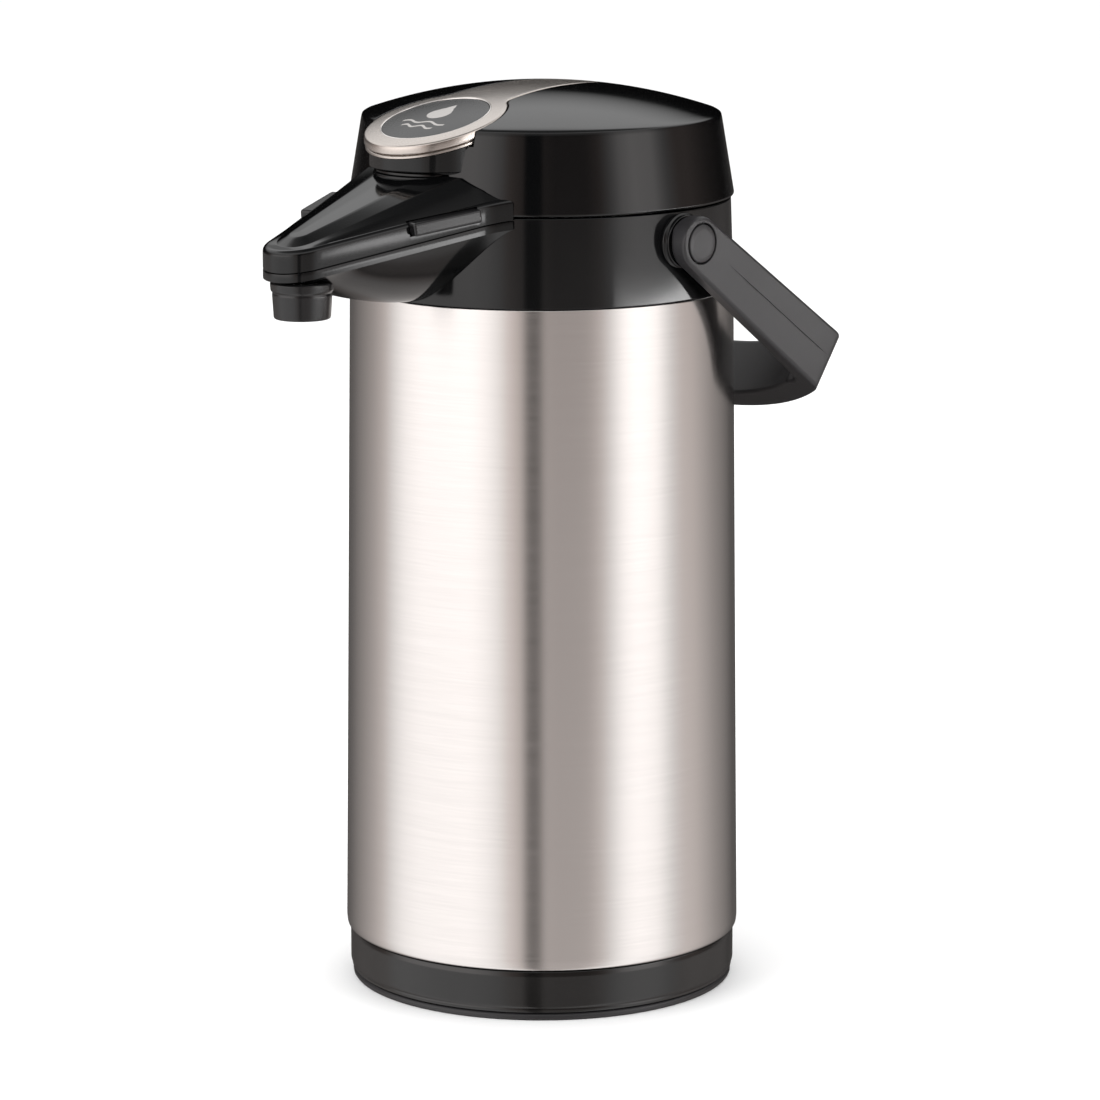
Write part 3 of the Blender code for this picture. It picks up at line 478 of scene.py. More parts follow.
# ------------------------------------------------------------------ shapes that follow the dome in plan
def inward_normals(outline):
    """Inward normals of a closed outline that runs counter-clockwise."""
    made = []
    for i, point in enumerate(outline):
        run = (outline[(i + 1) % len(outline)] - outline[i - 1]).normalized()
        made.append(Vector((-run.y, run.x)))
    return made


def ring(bm, outline, normals, inset, depth):
    """One ring of vertices, inset from an outline and a depth under the dome. Either may be a list."""
    made = []
    for i, (point, normal) in enumerate(zip(outline, normals)):
        spot = point + normal * (inset[i] if isinstance(inset, list) else inset)
        under = depth[i] if isinstance(depth, list) else depth
        made.append(bm.verts.new((spot.x, spot.y, dome_z(spot.length) - under)))
    return made


def inside(point, outline):
    """Whether a point is in a closed outline."""
    hit = False
    for i in range(len(outline)):
        a, b = outline[i - 1], outline[i]
        if (a.y > point.y) != (b.y > point.y) and point.x < (b.x - a.x) * (point.y - a.y) / (b.y - a.y) + a.x:
            hit = not hit
    return hit


def fill(bm, outer, hole=(), spacing=0.0035):
    """Fills between a ring and a hole with triangles that follow the dome."""
    loops = [list(outer)] + ([list(hole)] if hole else [])
    ring_verts = [v for loop in loops for v in loop]
    flat = [Vector(v.co.xy) for v in ring_verts]
    edges, start = [], 0
    for loop in loops:
        edges += [(start + i, start + (i + 1) % len(loop)) for i in range(len(loop))]
        start += len(loop)
    outline = [Vector(v.co.xy) for v in outer]
    gap = [Vector(v.co.xy) for v in hole]
    xs, ys = [p.x for p in outline], [p.y for p in outline]
    spots = []
    y = min(ys) + spacing
    while y < max(ys):
        x = min(xs) + spacing
        while x < max(xs):
            spot = Vector((x, y))
            near = min((spot - p).length for p in flat)
            if near > 0.45 * spacing and inside(spot, outline) and not (gap and inside(spot, gap)):
                spots.append(spot)
            x += spacing
        y += spacing
    found, _, faces, origins, _, _ = delaunay_2d_cdt(flat + spots, edges, [], 4 if hole else 1, 1e-7)
    base = ring_verts[0].co.z - dome_z(flat[0].length)
    verts = []
    for spot, origin in zip(found, origins):
        known = [i for i in origin if i < len(ring_verts)]
        if known:
            verts.append(ring_verts[known[0]])
        else:
            verts.append(bm.verts.new((spot.x, spot.y, dome_z(spot.length) + base)))
    for face in faces:
        middle = sum((found[i] for i in face), Vector((0, 0))) / len(face)
        if inside(middle, outline) and not (gap and inside(middle, gap)):
            bm.faces.new([verts[i] for i in face])


def lever_outline(grow=0.0):
    """Plan of the lever, counter-clockwise: the pad's circle and a tongue that narrows to a round tip."""
    pad = arc((0, PAD_Y), PAD_RADIUS + grow, -90, 51, 48)
    corner = [Vector((x + grow, y)) for x, y in (
        (0.0162, -0.0362), (0.0155, -0.0300), (0.0148, -0.0220), (0.0137, -0.0090), (0.0125, 0.0050),
        (0.0103, 0.0165))]
    tip = arc((0, 0.0230), 0.0082 + grow, 15, 90, 9)
    neck = smooth_line([pad[-1]] + corner + [tip[0]], 7)
    right = pad + neck[1:] + tip[1:]
    left = [Vector((-p.x, p.y)) for p in reversed(right[1:-1])]
    return right + left


def pad_circle(radius, count=128):
    return arc((0, PAD_Y), radius, -90, 270 - 360 / count, count)


def sunk_tool(outline, depth):
    """A cutter that sinks an outline into the dome and eases the edge it leaves."""
    bm = bmesh.new()
    normals = inward_normals(outline)
    levels = [(0.0, depth), (0.0, 0.00045), (-0.00006, 0.00022), (-0.00018, 0.00008), (-0.00045, -0.00001),
              (-0.0016, -0.0012), (-0.0016, -0.0080)]
    rings = [ring(bm, outline, normals, inset, under) for inset, under in levels]
    skin(bm, rings)
    fill(bm, rings[0])
    fill(bm, rings[-1])
    return outward(bm)


# ------------------------------------------------------------------ foot, base and steel shell
def make_body():
    turned("turntable_foot",
           [(0, 0.0030), (0.0052, 0.0030), (0.0052, 0.0100), (0.0085, 0.0100), (0.0085, 0.0045),
            (0.0700, 0.0045), (0.0712, 0.0030), (0.0798, 0.0030, 0.0003), (0.0806, 0.0022, 0.0005),
            (0.0806, 0.0008, 0.0005), (0.0798, 0, 0.0003), (0.0600, 0, 0.0004), (0.0600, 0.0015),
            (0.0150, 0.0015), (0.0150, 0, 0.0003), (0, 0)],
           "satin", "foot", ["swivel_foot"], closed=False)
    turned("base_ring",
           [(0.0770, 0.0360), (0.0795, 0.0360), (0.0795, 0.0213), (0.0811, 0.0213, 0.0006),
            (0.0816, 0.0190, 0.0006), (0.0816, 0.0062, 0.0010), (0.0809, 0.0054, 0.0003),
            (0.0811, 0.0046, 0.0003), (0.0808, 0.0034, 0.0005), (0.0740, 0.0034, 0.0004), (0.0740, 0.0110),
            (0.0040, 0.0110), (0.0040, 0.0135), (0.0765, 0.0135), (0.0770, 0.0142)],
           "base", "body", ["bottom_cover"])
    top, low = SHELL_TOP_Z, SHELL_BOTTOM_Z
    turned("steel_body",
           [(SHELL_TOP_RADIUS, top, 0.0004), (SHELL_BOTTOM_RADIUS, 0.0250, 0.0012),
            (SHELL_BOTTOM_RADIUS - 0.0003, low + 0.0008, 0.0008),
            (SHELL_BOTTOM_RADIUS - 0.0012, low, 0.0005), (SHELL_BOTTOM_RADIUS - 0.0018, low + 0.0012),
            (SHELL_BOTTOM_RADIUS - 0.0010, 0.0256), (SHELL_TOP_RADIUS - 0.0010, top)],
           "steel", "body", ["steel_shell"], steps=BODY_ROUND)


# ------------------------------------------------------------------ collar with bosses and hinge
def make_collar():
    turned("collar_ring",
           [(COLLAR_TOP_RADIUS, COLLAR_TOP_Z, 0.0006), (SHELL_TOP_RADIUS, SHELL_TOP_Z + GAP, 0.0005),
            (0.0782, SHELL_TOP_Z + GAP), (0.0782, 0.2860), (0.0762, 0.2860), (0.0762, 0.3205),
            (0.0425, 0.3205), (0.0402, 0.2953), (0.0350, 0.2953, 0.0003), (0.0350, 0.2970, 0.0003),
            (0.0380, 0.2970, 0.0004), (0.0400, COLLAR_DECK_Z, 0.0008), (0.0762, COLLAR_DECK_Z, 0.0006),
            (0.0762, COLLAR_TOP_Z, 0.0005)],
           "gloss", "body", ["collar"], steps=BODY_ROUND)
    for name, side in (("right", 1), ("left", -1)):
        place = along((side, 0, 0), (side * BOSS_INNER_X, 0, PIVOT_Z))
        turned(f"handle_boss_{name}",
               [(0, 0), (0.0119, 0, 0.0005), (0.0119, 0.0050, 0.0007), (BOSS_RADIUS, 0.0055, 0.0003),
                (BOSS_RADIUS, 0.0068, 0.0006), (0.0050, 0.0068), (0, 0.0068)],
               "gloss", "body", closed=False, steps=96, matrix=place)
        washer = along((side, 0, 0), (side * WASHER_INNER_X, 0, PIVOT_Z))
        turned(f"spacer_{name}", [(0, 0), (0.0092, 0, 0.0002), (0.0092, 0.0008, 0.0002), (0, 0.0008)],
               "satin", "body", [f"pivot_washer_{name}"], closed=False, steps=SMALL_ROUND, matrix=washer)
    y, z = HINGE.y, HINGE.z
    base = box_mesh((-0.0165, 0.0765, 0.3250), (0.0165, y + HINGE_RADIUS, 0.3318))
    piece("hinge_base", base, "gloss", "body", bevel=0.0009)
    for name, low in (("right", 0.0102), ("left", -0.0160)):
        post = box_mesh((low, y - 0.0030, 0.3300), (low + 0.0058, y + HINGE_RADIUS, z))
        ear = rod_mesh(HINGE_RADIUS, (low, y, z), (low + 0.0058, y, z), 48)
        piece(f"hinge_ear_{name}", carved(post, [("UNION", ear)]), "gloss", "body", bevel=0.0004)
    pin = rod_mesh(HINGE_PIN_RADIUS, (-0.0172, y, z), (0.0172, y, z), 32, 0.0005)
    piece("hinge_pin", pin, "pin", "body", ["lid_hinge_pin"])


# ------------------------------------------------------------------ spout
def spout_half_width(y):
    """Half width of the spout in plan: a straight taper and a flare at the collar."""
    tangent_x = SPOUT_TIP_RADIUS * math.cos(SPOUT_TAPER)
    tangent_y = NOZZLE_Y - SPOUT_TIP_RADIUS * math.sin(SPOUT_TAPER)
    flare = FLARE_WIDTH * max((y - FLARE_START_Y) / FLARE_LENGTH, 0) ** 2
    return tangent_x + (y - tangent_y) * math.tan(SPOUT_TAPER) + flare


def seam_z(y):
    return SEAM_ROOT_Z + (y + 0.0630) * SEAM_SLOPE


def roof_z(y, share):
    """Height of the roof: a flat middle facet, a side facet and a steeper edge facet."""
    edge = seam_z(y) + FLANK_HEIGHT
    ridge = max(ROOF_TIP_Z + (y + 0.1478) * ROOF_SLOPE, edge + 0.0012)
    stops = [(0.0, ridge), (0.30, ridge - 0.0003), (0.36, ridge - 0.0006), (0.64, ridge - 0.0024),
             (1.0, edge)]
    for (s0, z0), (s1, z1) in zip(stops, stops[1:]):
        if share <= s1:
            return max(z0 + (z1 - z0) * (share - s0) / (s1 - s0), edge)
    return edge


def keel_z(y):
    """Height of the keel: level at the collar, and up to the lip at the tip."""
    if y < NOZZLE_Y:
        return 0.3085 + 0.0040 * ((NOZZLE_Y - y) / SPOUT_TIP_RADIUS) ** 3
    rise = min(max((-0.0800 - y) / (-0.0800 - NOZZLE_Y), 0), 1)
    return 0.2966 + 0.0119 * rise ** KEEL_POWER


def hull_z(y, share):
    """Height of the hull: a short upright wall, then a round belly down to the keel."""
    wall = seam_z(y) - GAP - HULL_WALL
    return wall - (wall - keel_z(y)) * (1 - share ** HULL_BELLY)


def spout_rays():
    """Half the plan outline from the body to the tip, each point with the centre it looks at."""
    rays = []
    tangent_y = NOZZLE_Y - SPOUT_TIP_RADIUS * math.sin(SPOUT_TAPER)
    count = 43
    for i in range(count + 1):
        y = SPOUT_ROOT_Y + (tangent_y - SPOUT_ROOT_Y) * i / count
        width = spout_half_width(y)
        lean = max((-0.1250 - y) / (-0.1250 - tangent_y), 0)
        rays.append((Vector((width, y)), Vector((0, y + lean * (NOZZLE_Y - tangent_y)))))
    turn = math.radians(90) - SPOUT_TAPER
    for i in range(1, 17):
        angle = SPOUT_TAPER + turn * i / 16
        spot = Vector((SPOUT_TIP_RADIUS * math.cos(angle), NOZZLE_Y - SPOUT_TIP_RADIUS * math.sin(angle)))
        rays.append((spot, Vector((0, NOZZLE_Y))))
    return rays


def spout_half(rows):
    """Both halves of a solid through rows of (share towards the edge, inset, height at the spot)."""
    bm = bmesh.new()
    lines = []
    for edge, centre in spout_rays():
        inward = (centre - edge).normalized()
        line = []
        for share, inset, height in rows:
            spot = centre + (edge - centre) * share + inward * inset
            line.append(bm.verts.new((max(spot.x, 0), spot.y, height(spot.y))))
        lines.append(line)
    for first, second in zip(lines, lines[1:]):
        for i in range(len(rows) - 1):
            bm.faces.new((first[i], first[i + 1], second[i + 1], second[i]))
    bm.faces.new(lines[0])
    twin = bmesh.ops.duplicate(bm, geom=bm.verts[:] + bm.edges[:] + bm.faces[:])
    verts = [g for g in twin["geom"] if isinstance(g, bmesh.types.BMVert)]
    bmesh.ops.scale(bm, vec=(-1, 1, 1), verts=verts)
    bmesh.ops.remove_doubles(bm, verts=bm.verts, dist=0.000005)
    bmesh.ops.dissolve_degenerate(bm, edges=bm.edges, dist=0.000002)
    return outward(bm)


def body_cutter():
    low, high = 0.280, 0.400
    return turned_mesh([(0, low), (BODY_CUT_RADIUS, low), (BODY_CUT_RADIUS, high), (0, high)], ROUND, False)


def upper_rows():
    ease = 0.0020
    rows = [(0.0, 0, seam_z), (0.5, 0, seam_z), (1.0, 0.0008, seam_z), (1.0, 0.0004, seam_z),
            (1.0, 0.0001, lambda y: seam_z(y) + 0.0001), (1.0, 0.0, lambda y: seam_z(y) + 0.0004),
            (1.0, 0.0, lambda y: seam_z(y) + 0.5 * FLANK_HEIGHT),
            (1.0, 0.0, lambda y: seam_z(y) + FLANK_HEIGHT - ease)]
    for k in range(1, 7):
        angle = math.radians(15 * k)
        rows.append((1.0, ease * (1 - math.cos(angle)),
                     lambda y, rise=ease * (1 - math.sin(angle)): seam_z(y) + FLANK_HEIGHT - rise))
    shares = [0.84, 0.76, 0.68, 0.655, 0.64, 0.625, 0.55, 0.46, 0.385, 0.365, 0.345, 0.325, 0.30, 0.20,
              0.10, 0.0]
    return rows + [(share, 0, lambda y, s=share: roof_z(y, s)) for share in shares]


def lower_rows():
    rows = [(share, inset, lambda y, under=under: seam_z(y) - GAP - under) for share, inset, under in (
        (0.0, 0, 0), (0.5, 0, 0), (1.0, 0.0008, 0), (1.0, 0.0004, 0), (1.0, 0.0001, 0.0001), (1.0, 0, 0.0004),
        (1.0, 0, 0.0020))]
    shares = [1.0, 0.997, 0.99, 0.98, 0.965, 0.945, 0.92, 0.885, 0.84, 0.79, 0.73, 0.66, 0.58, 0.50, 0.41,
              0.32, 0.23, 0.15, 0.09, 0.05, 0.02, 0.0]
    return rows + [(share, 0, lambda y, s=share: hull_z(y, s)) for share in shares]


def catch_mesh(side, grow=0.0, room=0.0):
    """A catch, or the tool for its slot: larger by a gap all round and deeper by the room behind it."""
    depth, length, height = CATCH_SIZE
    depth += room
    middle = side * (CATCH_PROUD - depth / 2)
    low = (middle - depth / 2 - 2 * grow, -length / 2 - grow, -height / 2 - grow)
    high = (middle + depth / 2 + 2 * grow, length / 2 + grow, height / 2 + grow)
    bm = box_mesh(low, high)
    turn = Matrix.Rotation(-side * SPOUT_TAPER, 4, "Z") @ Matrix.Rotation(math.radians(8), 4, "X")
    place = Matrix.Translation((side * CATCH_CENTRE[0], CATCH_CENTRE[1], CATCH_CENTRE[2]))
    bm.transform(place @ turn)
    return bm


def make_spout():
    slots = [catch_mesh(side, CATCH_GAP, CATCH_ROOM) for side in (1, -1)]
    upper = carved(spout_half(upper_rows()), cuts(body_cutter(), *slots))
    piece("spout_roof", upper, "gloss", "body", ["spout_upper_shell"], sharp=28)
    outlet = rod_mesh(0.0112, (0, NOZZLE_Y, 0.2900), (0, NOZZLE_Y, 0.3120))
    lower = carved(spout_half(lower_rows()), cuts(body_cutter(), outlet))
    piece("spout_hull", lower, "gloss", "body", ["spout_lower_shell"], sharp=28)
    seat_z = NOSE_BOTTOM_Z - 0.0005
    rise = round_solid([(0, 0.3420), (0.0258, 0.3420), (0.0258, 0.3484, 0.0006), (0.0246, 0.3488, 0.0003),
                        (0.0246, seat_z, 0.0005), (0, seat_z)], 128, Matrix.Translation((0, PAD_Y, 0)))
    piece("nose_seat", carved(rise, cuts(body_cutter())), "gloss", "body")
    for name, side in (("right", 1), ("left", -1)):
        piece(f"catch_{name}", catch_mesh(side), "soft", f"catch_{name}", [f"side_catch_{name}"],
              bevel=0.0011)
    turned("pouring_nozzle",
           [(0.0060, 0.3112), (0.0120, 0.3112), (0.0128, 0.3106, 0.0004), (0.0126, 0.3076, 0.0006),
            (0.0118, 0.3068, 0.0004), (0.0120, 0.3060, 0.0004), (0.0114, NOZZLE_BOTTOM_Z, 0.0010),
            (0.0090, NOZZLE_BOTTOM_Z, 0.0007), (0.0060, 0.3010, 0.0010)],
           "soft", "body", ["nozzle"], steps=96, matrix=Matrix.Translation((0, NOZZLE_Y, 0)))


# ------------------------------------------------------------------ lid
def lid_profile():
    """Half section of the solid lid, from the middle of its dome round the rim to its underside."""
    reach = LID_RIM_RADIUS - 0.0016
    dome = [(reach * i / 22, dome_z(reach * i / 22)) for i in range(23)]
    under = LID_BOTTOM_Z + 0.0036
    return dome + rounded([(reach, dome_z(reach)), (LID_RIM_RADIUS - 0.0003, LID_RIM_Z - 0.0002, 0.0005),
                           (LID_RIM_RADIUS + 0.0001, LID_RIM_Z - 0.0018, 0.0006),
                           (LID_BOTTOM_RADIUS, LID_BOTTOM_Z + 0.0006, 0.0005),
                           (LID_BOTTOM_RADIUS - 0.0006, LID_BOTTOM_Z, 0.0003),
                           (LID_BOTTOM_RADIUS - 0.0025, LID_BOTTOM_Z, 0.0003),
                           (LID_BOTTOM_RADIUS - 0.0029, under), (0, under)], False)[1:]


def make_lid():
    nose = round_solid([(0, NOSE_BOTTOM_Z), (NOSE_RADIUS, NOSE_BOTTOM_Z, 0.0007), (NOSE_RADIUS, 0.3690),
                        (0, 0.3690)], 144, Matrix.Translation((0, PAD_Y, 0)))
    y, z = LEVER_PIVOT.yz
    lugs = [("UNION", box_mesh((low, y - 0.0035, z - 0.0045), (low + 0.0035, y + 0.0035, 0.3768)))
            for low in (0.0100, -0.0135)]
    chamber = rod_mesh(PUMP_ROOM_RADIUS, (0, 0, 0.3300), (0, 0, PUMP_ROOM_TOP_Z), 128)
    tongue_recess = sunk_tool(lever_outline(RECESS_GAP), TONGUE_DEPTH + 0.0005)
    pad_recess = sunk_tool(pad_circle(PAD_RADIUS + RECESS_GAP), PAD_DEPTH + 0.0005)
    post_hole = rod_mesh(0.0072, (0, 0, 0.3600), (0, 0, 0.3900))
    tail_slot = box_mesh((-0.0106, 0.0150, 0.3640), (0.0106, 0.0345, 0.3785))
    rooms = [rod_mesh(HINGE_RADIUS + 0.0006, (low, HINGE.y, HINGE.z), (low + 0.0066, HINGE.y, HINGE.z), 48)
             for low in (0.0098, -0.0164)]
    steps = [("UNION", nose)] + cuts(chamber, tongue_recess, pad_recess, post_hole, tail_slot, *rooms)
    lid = carved(turned_mesh(lid_profile(), BODY_ROUND, False), steps + lugs)
    piece("lid_dome", lid, "gloss", "lid", ["lid_cover"], sharp=30)
    knuckle = rod_mesh(HINGE_RADIUS, (-0.0096, HINGE.y, HINGE.z), (0.0096, HINGE.y, HINGE.z), 48)
    web = box_mesh((-0.0096, 0.0770, 0.3342), (0.0096, HINGE.y, HINGE.z + HINGE_RADIUS))
    piece("lid_knuckle", carved(web, [("UNION", knuckle)]), "gloss", "lid", bevel=0.0004)


# ------------------------------------------------------------------ lever and badge
def make_lever():
    outline = lever_outline()
    normals = inward_normals(outline)

    def deep(point):
        """How far down the pad's band reaches at a point: full at the front, none at the neck."""
        angle = math.degrees(math.atan2(point.y - PAD_Y, abs(point.x)))
        if point.y > -0.0330:
            return 0.0
        return min(max((50 - angle) / 22, 0), 1)

    band = [deep(point) for point in outline]
    # inset at the neck, inset at the pad's front, depth, and what the front's two steps add to it
    levels = [(0.0024, 0.0024, 0.0, 0.0), (0.0007, 0.0007, 0.0, 0.0), (0.00035, 0.00035, 0.00008, 0.0),
              (0.00012, 0.00012, 0.00026, 0.0), (0.0, 0.0, 0.0006, 0.0), (0.0, 0.0, 0.0016, 0.0),
              (0.0, 0.0, 0.0024, 0.0004), (0.00015, 0.00015, 0.0027, 0.0006),
              (0.0006, 0.0006, 0.0029, 0.0006), (0.0010, 0.0014, 0.0029, 0.0008),
              (0.0012, 0.0014, 0.0029, 0.0011), (0.0014, 0.0008, 0.0029, 0.0013),
              (0.0016, 0.0005, 0.0029, 0.0016), (0.0018, 0.0005, 0.0029, 0.0023),
              (0.0020, 0.0008, 0.0029, 0.0027), (0.0022, 0.0018, 0.0029, 0.0029),
              (0.0030, 0.0030, 0.0029, 0.0029)]
    bm = bmesh.new()
    rings = []
    for neck, front, depth, extra in levels:
        insets = [neck + (front - neck) * share for share in band]
        rings.append(ring(bm, outline, normals, insets, [depth + extra * share for share in band]))
    skin(bm, rings)
    hole = pad_circle(BADGE_RADIUS + 0.0004, BADGE_ROUND)
    hole_normals = inward_normals(hole)
    sunk = [ring(bm, hole, hole_normals, inset, depth) for inset, depth in (
        (0, 0), (0.00012, 0.00004), (0.00026, 0.00018), (0.0003, 0.0004), (0.0003, 0.0012))]
    skin(bm, sunk)
    fill(bm, rings[0], sunk[0], 0.0030)
    fill(bm, sunk[-1], (), 0.0050)
    fill(bm, rings[-1], (), 0.0050)
    piece("lever_pad", outward(bm), "silver", "lever", ["pump_lever"], sharp=34)

    y, z = LEVER_PIVOT.yz
    lug = box_mesh((-0.0060, y - 0.0034, z), (0.0060, y + 0.0034, 0.3765))
    eye = rod_mesh(0.0034, (-0.0060, y, z), (0.0060, y, z), 40)
    piece("lever_eye", carved(lug, [("UNION", eye)]), "satin", "lever", bevel=0.0003)
    pin = rod_mesh(LEVER_PIN_RADIUS, (-0.0140, y, z), (0.0140, y, z), 32, 0.0004)
    piece("lever_pivot_pin", pin, "pin", "lid", ["lever_pin"])

    face = bmesh.new()
    disc = pad_circle(BADGE_RADIUS - 0.0004, BADGE_ROUND)
    disc_normals = inward_normals(disc)
    rim = [ring(face, disc, disc_normals, inset, depth)
           for inset, depth in ((0, 0.0010), (0, 0.00055), (0.00012, 0.00045), (0.0004, 0.0004))]
    skin(face, rim)
    fill(face, rim[-1], (), 0.0030)
    fill(face, rim[0], (), 0.0060)
    piece("badge_disc", outward(face), "badge", "lever", ["lever_badge"])

    make_drop()
    bead = bmesh.new()
    middle = pad_circle(BADGE_RADIUS - 0.00005, BADGE_ROUND)
    bead_normals = inward_normals(middle)
    radius = 0.00032
    rounds = []
    for k in range(8):
        angle = 2 * math.pi * k / 8
        rounds.append(ring(bead, middle, bead_normals, radius * math.cos(angle),
                           0.00042 - radius * math.sin(angle)))
    skin(bead, rounds + rounds[:1])
    piece("badge_bead", outward(bead), "chrome", "lever", sharp=60)


def make_drop():
    """A plain coffee drop over two waves, printed on the badge."""
    shapes = [[Vector((0, PAD_Y + 0.0125))] + arc((0, PAD_Y + 0.0022), 0.0052, 155, 385, 30)]
    for centre in (-0.0070, -0.0110):
        reach = 0.0115 if centre > -0.0100 else 0.0085
        top, low = [], []
        for i in range(25):
            x = -reach + 2 * reach * i / 24
            y = PAD_Y + centre + 0.0009 * math.sin(2 * math.pi * i / 12)
            top.append(Vector((x, y + 0.0006)))
            low.append(Vector((x, y - 0.0006)))
        shapes.append(low + list(reversed(top)))
    bm = bmesh.new()
    for shape in shapes:
        normals = inward_normals(shape)
        rings = [ring(bm, shape, normals, inset, depth) for inset, depth in ((0, 0.00044), (0, 0.00036))]
        skin(bm, rings)
        fill(bm, rings[1], (), 0.0030)
    piece("badge_drop", outward(bm), "print", "lever")


# ------------------------------------------------------------------ pump, pipes and flask
def make_inside():
    turned("lid_floor",
           [(0.0764, 0.3370, 0.0003), (0.0764, 0.3345, 0.0004), (0.0180, 0.3345, 0.0010),
            (0.0180, 0.2985, 0.0012), (0.0165, 0.2980, 0.0004), (0.0030, 0.2980, 0.0003), (0.0030, 0.3000),
            (0.0160, 0.3000), (0.0160, 0.3370)],
           "satin", "lid", ["lid_base"])
    turned("lid_seal",
           [(0.0420, 0.3341), (0.0460, 0.3341), (0.0470, 0.3235, 0.0010), (0.0430, 0.3235, 0.0010)],
           "seal", "lid", ["lid_gasket"])
    turned("valve_disc", [(0, 0.3013), (0.0080, 0.3013, 0.0003), (0.0080, 0.3003, 0.0003), (0, 0.3003)],
           "seal", "lid", ["air_valve"], closed=False, steps=64)
    for number, (x, y) in enumerate(SCREW_PLACES, 1):
        screw = round_solid([(0, 0.3440), (0.0014, 0.3430), (0.0014, 0.3342), (0.0034, 0.3342, 0.0002),
                             (0.0034, 0.3332, 0.0006), (0.0020, 0.3320, 0.0006), (0, 0.3320)],
                            40, Matrix.Translation((x, y, 0)))
        cross = [box_mesh((x - reach, y - width, 0.3310), (x + reach, y + width, 0.3328))
                 for reach, width in ((0.0019, 0.0003), (0.0003, 0.0019))]
        piece(f"screw_{number}", carved(screw, cuts(*cross)), "pin", "lid", [f"lid_screw_{number}"])
    turned("flask_inner",
           [(0, 0.0338), (0.0480, 0.0338, 0.0050), (0.0610, 0.0390, 0.0060), (0.0652, 0.0500, 0.0050),
            (0.0652, 0.2370, 0.0060), (0.0590, 0.2530, 0.0060), (0.0430, 0.2630, 0.0060),
            (0.0338, 0.2700, 0.0030), (0.0338, 0.2915, 0.0004), (0.0362, 0.2915, 0.0003), (0.0362, 0.2904),
            (0.0350, 0.2904), (0.0346, 0.2706), (0.0436, 0.2638), (0.0597, 0.2536), (0.0660, 0.2374),
            (0.0660, 0.0497), (0.0616, 0.0383), (0.0484, 0.0330), (0, 0.0330)],
           "flask", "body", ["flask_liner"], closed=False, steps=128)
    turned("mouth_seal", [(0.0345, 0.2950, 0.0006), (0.0385, 0.2950, 0.0006), (0.0385, 0.2918, 0.0006),
                          (0.0345, 0.2918, 0.0006)], "seal", "body", ["neck_seal"], steps=128)
    place = Matrix.Translation((0, SUCTION_Y, 0))
    turned("rising_tube", [(0.0028, 0.3030, 0.0003), (0.0038, 0.3030, 0.0003), (0.0038, 0.0365, 0.0003),
                           (0.0028, 0.0365, 0.0003)],
           "pipe", "body", ["suction_tube"], steps=48, matrix=place)
    turned("joint_seal",
           [(0.0028, 0.3063), (0.0050, 0.3063, 0.0006), (0.0050, 0.3033, 0.0006), (0.0028, 0.3033)],
           "seal", "body", ["tube_seal"], steps=48, matrix=place)
    route = [(SUCTION_Y, 0.3067)] + [tuple(p) for p in arc((SUCTION_Y - 0.0068, 0.3080), 0.0068, 0, 86, 12)]
    route += [(-0.060, 0.3150), (-0.090, 0.3153), (-0.122, 0.3158)]
    route += [tuple(p) for p in arc((NOZZLE_Y + 0.0070, 0.3088), 0.0070, 92, 180, 12)] + [(NOZZLE_Y, 0.3073)]
    bm = bmesh.new()
    rings = []
    for i, (y, z) in enumerate(route):
        before, after = route[max(i - 1, 0)], route[min(i + 1, len(route) - 1)]
        run = Vector((0, after[0] - before[0], after[1] - before[1])).normalized()
        across = Vector((1, 0, 0)).cross(run)
        spokes = [math.cos(a) * Vector((1, 0, 0)) + math.sin(a) * across
                  for a in [2 * math.pi * k / 32 for k in range(32)]]
        rings.append([bm.verts.new(Vector((0, y, z)) + PIPE_RADIUS * spoke) for spoke in spokes])
    skin(bm, rings)
    piece("coffee_pipe", outward(bm), "pipe", "body", ["outlet_pipe"], sharp=50)


# ------------------------------------------------------------------ carrying handle
def bail_stations():
    """Pairs of outer and inner points of half the bail in its own plane."""
    corner = 0.0055
    half_chord = ARM_OUTER_X - 0.0050
    sagitta = GRIP_REACH - CORNER_REACH
    bow = (half_chord ** 2 + sagitta ** 2) / (2 * sagitta)
    centre_y = GRIP_REACH - bow
    stations = []
    for i in range(13):
        y = -ARM_ROOT_RADIUS * math.cos(math.radians(90 * i / 12))
        stations.append((Vector((ARM_OUTER_X, y)), Vector((ARM_INNER_X, y))))
    last = CORNER_REACH - 0.0120
    for i in range(1, 25):
        y = last * i / 24
        thicker = 0.0010 * max(y / last - 0.7, 0) / 0.3
        stations.append((Vector((ARM_OUTER_X, y)), Vector((ARM_INNER_X - thicker, y))))
    start = math.degrees(math.atan2(CORNER_REACH - centre_y, half_chord))
    elbow = arc((ARM_OUTER_X - corner, CORNER_REACH - 0.0075), corner, 0, start + 8, 9)
    inner_bow = bow - GRIP_THICKNESS
    first_inner = 0.0735
    inner_start = math.degrees(math.acos(first_inner / inner_bow))
    landing = Vector((first_inner, centre_y + inner_bow * math.sin(math.radians(inner_start))))
    knee = smooth_bend(stations[-1][1], Vector((ARM_INNER_X - 0.0012, landing.y - 0.0012)), landing, 9)
    stations += list(zip(elbow, knee))[1:]
    outer_start = math.degrees(math.atan2(elbow[-1].y - centre_y, elbow[-1].x))
    outer_line = arc((0, centre_y), bow, outer_start, 90, 34)
    inner_line = arc((0, centre_y), inner_bow, inner_start, 90, 34)
    stations += list(zip(outer_line, inner_line))[1:]
    return stations


def smooth_bend(start, corner, end, count):
    """Points of a curve from start to end that leans towards the corner."""
    return [start * (1 - t) ** 2 + corner * 2 * t * (1 - t) + end * t ** 2
            for t in [i / (count - 1) for i in range(count)]]


